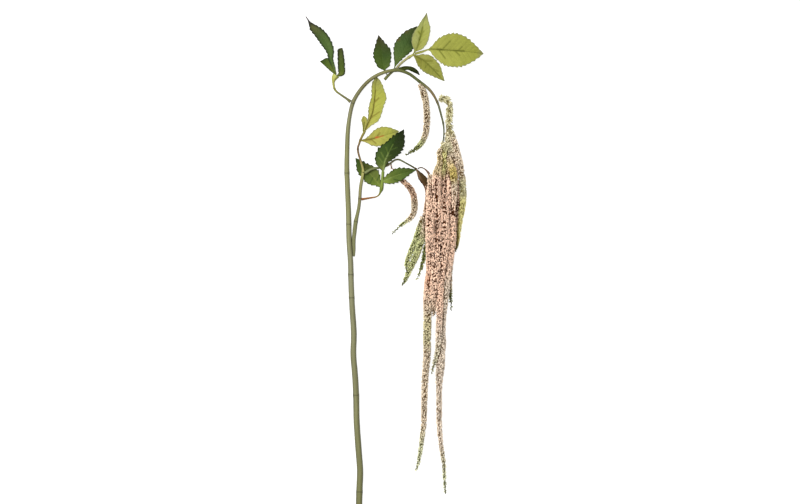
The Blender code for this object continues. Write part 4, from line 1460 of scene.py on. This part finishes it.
def inner_stalk(places):
    """Painted shade: a dark rod where there is only shade deep in the bundle, from x, y, z and
    radius along it.
    """
    points = smooth(places, TASSEL_STEP)
    colour = np.tile(SHADE_STALK_TONE, (len(points), 1))
    mesh = rod("inner_stalk", points, points[:, 3], colour, wobble=SHADE_STALK_WOBBLE)
    return placed("inner_stalk", mesh)


def as_object(name, made):
    """An object that is kept out of the scene, from a bmesh, for the tree to measure to."""
    mesh = bpy.data.meshes.new(name)
    made.to_mesh(mesh)
    made.free()
    return bpy.data.objects.new(name, mesh)


def furrow_strips():
    """Upright strips over the lines along which the bundle's tassels part."""
    strips = bmesh.new()
    for line in FURROWS:
        feet, tops = (
            [strips.verts.new((x * MM, y * MM, height)) for x, y in line]
            for height in (0, FURROW_TOP)
        )
        for corners in zip(feet, feet[1:], tops[1:], tops):
            strips.faces.new(corners)
    return as_object("furrow_strips", strips)


def neighbours(node):
    """The frame's other tassels."""
    crowd = bmesh.new()
    for other, piece in frame["nodes"].items():
        if other.endswith("_tassel") and other != node:
            crowd.from_mesh(piece.data)
    return as_object("neighbours", crowd)


def tassel(node, start, slot, stops, lead=(), shade_stalks=(), **courses):
    """A tassel in place of the frame's plain tube.

    The stops are shares of the way and colours. lead is x, y and radius of points where the buds
    climb the stem, before the tube starts, and the dark rods beside it, put where there is only
    shade deep in the bundle, are painted shade. The courses go by shares of the way too: cover is
    how much of the rod bears buds, reach is how long they are, girth is how thick the tassel is and
    thin is how thick its rod is.
    """
    rings = rings_of(node, *start)
    climb = [(x, y, rings[0, 2], radius) for x, y, radius in lead]
    points = smooth([*climb, *rings], TASSEL_STEP)
    along = distances_along(points)
    share = along / along[-1]
    cover, reach, girth, thin = (
        np.interp(share, *zip(*courses.get(name, ((0, usual),)))) for name, usual in COURSES
    )
    radius = points[:, 3] * girth * MM
    tags = {
        "radius": radius,
        "core": np.maximum(radius - CORE_DEPTH, radius * CORE_SHARE) * thin,
        "along": along * MM,
        "middle": points[:, :3] * MM,
        "heading": headings(points),
        "tone": colours_at(share, [(place, *bud) for place, (bud, _) in stops]),
        "gap": colours_at(share, [(place, *gap) for place, (_, gap) in stops]),
        "cover": cover,
        "reach": reach,
    }
    others = neighbours(node)
    values = {
        "Gap": BUD_GAP,
        "Droop": BUD_DROOP,
        "Seed": next(seeds),
        "Neighbours": others,
        "Furrows": FURROW_STRIPS,
        "Finish": BUD_SKIN,
    }
    mesh = grown(node, thread(points, tags), BEADED_TASSEL, values)
    bpy.data.objects.remove(others)
    if shade_stalks:
        mesh = joined(placed(node, mesh), *map(inner_stalk, shade_stalks))
    mesh.shade_smooth()
    shown(node, mesh)


FURROW_STRIPS = furrow_strips()
print("tassel helpers are ready")

# %% [markdown]
# The bundle hangs from the tip of the arch. Its long tassels start pale and green at the head,
# turn pink within a few centimetres and taper to green tips.

# %% The bundle
tassel(
    "longest_tassel", (94.5, 234.1), "pink_tassel",
    (
        (0, HEAD), (0.015, HEAD), (0.03, NECK), (0.06, NECK), (0.085, SHEATH), (0.105, PINK),
        (0.33, PINK), (0.42, BLUSH), (0.86, BLUSH), (0.95, TIP), (1, TIP),
    ),
    lead=((97.5, 243, 2.5), (96, 239, 3.5)),
    girth=(
        (0, 1.0), (0.012, 1.2), (0.024, 2.0), (0.04, 1.4), (0.055, 0.95), (0.075, 0.88),
        (0.13, 0.9), (0.165, 1.0), (0.34, 1.0), (0.41, 0.95), (0.56, 0.93), (0.61, 0.83),
        (0.71, 0.83), (0.76, 0.92), (0.97, 0.97), (1, 1.4),
    ),
)
tassel(
    "long_left_tassel", (69.3, 177.5), "pink_tassel",
    (
        (0, STRAW), (0.05, PINK), (0.32, PINK), (0.35, RUST), (0.38, PINK), (0.46, STRAW),
        (0.5, MOSS), (0.56, MOSS), (0.6, STRAW), (0.84, STRAW), (0.92, TIP), (1, TIP),
    ),
    girth=((0, 1.04), (0.42, 1.04), (0.5, 0.95), (1, 0.97)),
)
tassel(
    "looping_tassel", (90.6, 230.4), "pink_tassel",
    ((0, STRAW), (0.06, SHEATH), (0.14, SHEATH), (0.18, PINK), (0.85, PINK), (1, STRAW)),
    shade_stalks=(
        ((78, 150, 4, 2.5), (77.5, 110, 4, 3), (77.5, 60, 4, 3), (77, 20, 4, 2.5)),
        ((90, 170, 4, 2.5), (93, 90, 4, 3), (93.5, 50, 4, 3), (91, 5, 4, 2.5)),
    ),
    girth=((0, 1.16), (0.04, 1.1), (0.07, 0.85), (0.1, 0.9), (0.15, 1.06)),
)
tassel(
    "middle_tassel", (98, 226), "pink_tassel",
    (
        (0, HEAD), (0.05, NECK), (0.12, NECK), (0.14, SHEATH), (0.16, PINK), (0.7, PINK),
        (0.84, BLUSH), (1, TIP),
    ),
    lead=((103, 241, 2.5), (101, 234, 4.0)),
    shade_stalks=(((100, 205, 4, 2.5), (102, 180, 4, 3.5), (103, 150, 4, 3.5), (107, 85, 4, 2.5)),),
    girth=((0, 1.2), (0.03, 2.2), (0.05, 1.3), (0.08, 1), (0.11, 0.88), (0.19, 0.86), (0.24, 1)),
)
tassel(
    "bright_base_tassel", (105, 215), "green_tassel",
    ((0, STRAW), (0.14, SHEATH), (0.25, BRIGHT), (0.38, BRIGHT), (0.52, STRAW), (1, PINK)),
)
tassel(
    "right_thin_tassel", (101.1, 284), "pink_tassel",
    (
        # The DUSK stretch is painted shade, where this tassel lies low beside the outer one.
        (0, HEAD), (0.14, HEAD), (0.18, STRAW), (0.3, PINK), (0.42, PINK), (0.46, DUSK),
        (0.56, DUSK), (0.62, STRAW), (0.86, STRAW), (0.92, FOREST), (1, FOREST),
    ),
    shade_stalks=(((127, 165, 4, 2.0), (128.5, 131, 4, 2.8), (127.5, 107, 4, 2.8), (124, 80, 4, 2.0)),),
    cover=((0, 0.0), (0.04, 0.1), (0.07, 0.7), (0.1, 1)),
    girth=(
        (0, 1), (0.06, 1.4), (0.1, 2.0), (0.15, 1.4), (0.2, 1.0), (0.24, 0.82), (0.31, 0.82),
        (0.36, 1), (0.6, 1), (0.67, 0.75), (1, 0.8),
    ),
)
tassel(
    "outer_tassel", (88.9, 327), "pink_tassel",
    (
        (0, PALE_GREEN), (0.24, PALE_GREEN), (0.3, STRAW), (0.5, STRAW), (0.56, PALE_GREEN),
        (0.62, PALE_GREEN), (0.67, LEAFY), (0.9, LEAFY), (1, OLIVE),
    ),
    cover=((0, 1), (0.06, 0.7), (0.2, 0.6), (0.28, 1)),
    reach=((0, 2.2), (0.2, 2.2), (0.28, 1)),
    girth=((0, 1.6), (0.03, 1.25), (0.06, 1.0), (0.6, 1.0), (0.7, 0.86), (1, 0.86)),
    thin=((0, 0.6), (0.2, 0.6), (0.28, 1)),
)
print("the bundle is made")

# %% [markdown]
# Three thin green tassels hang at the bundle's left from the fork of the brown stalk. Two more
# hang alone: one inside the arch and one from the shoot below it.

# %% The other tassels
tassel(
    "sheath_tassel", (44.3, 187.8), "green_tassel",
    ((0, DUSK), (0.3, DUSK), (0.5, STRAW), (0.62, OLIVE), (0.9, OLIVE), (1, FOREST)),
)
tassel("left_green_tassel", (54.5, 93), "green_tassel", ((0, STRAW), (0.25, OLIVE), (1, OLIVE)))
tassel(
    "short_green_tassel", (66, 77), "green_tassel",
    ((0, DUSK), (0.25, FOREST), (0.8, FOREST), (1, OLIVE)),
    girth=((0, 1), (0.25, 0.75), (1, 0.75)),
)
tassel(
    "arch_tassel", (48.2, 358.1), "pink_tassel",
    ((0, STRAW), (0.12, DULL), (0.66, DULL), (0.75, OLIVE), (0.83, FOREST), (1, FOREST)),
    girth=((0, 1.06), (0.15, 0.98), (0.3, 0.9), (0.7, 0.9), (1, 1)),
)
tassel(
    "small_tassel", (-7.4, 198.9), "pink_tassel",
    ((0, DUSK), (0.45, DUSK), (0.55, DULL), (0.7, STRAW), (0.8, OLIVE), (1, FOREST)),
    girth=((0, 1), (0.2, 0.9), (0.65, 0.88), (0.8, 0.65), (1, 0.6)),
)
bpy.data.objects.remove(FURROW_STRIPS)
print("the other tassels are made")
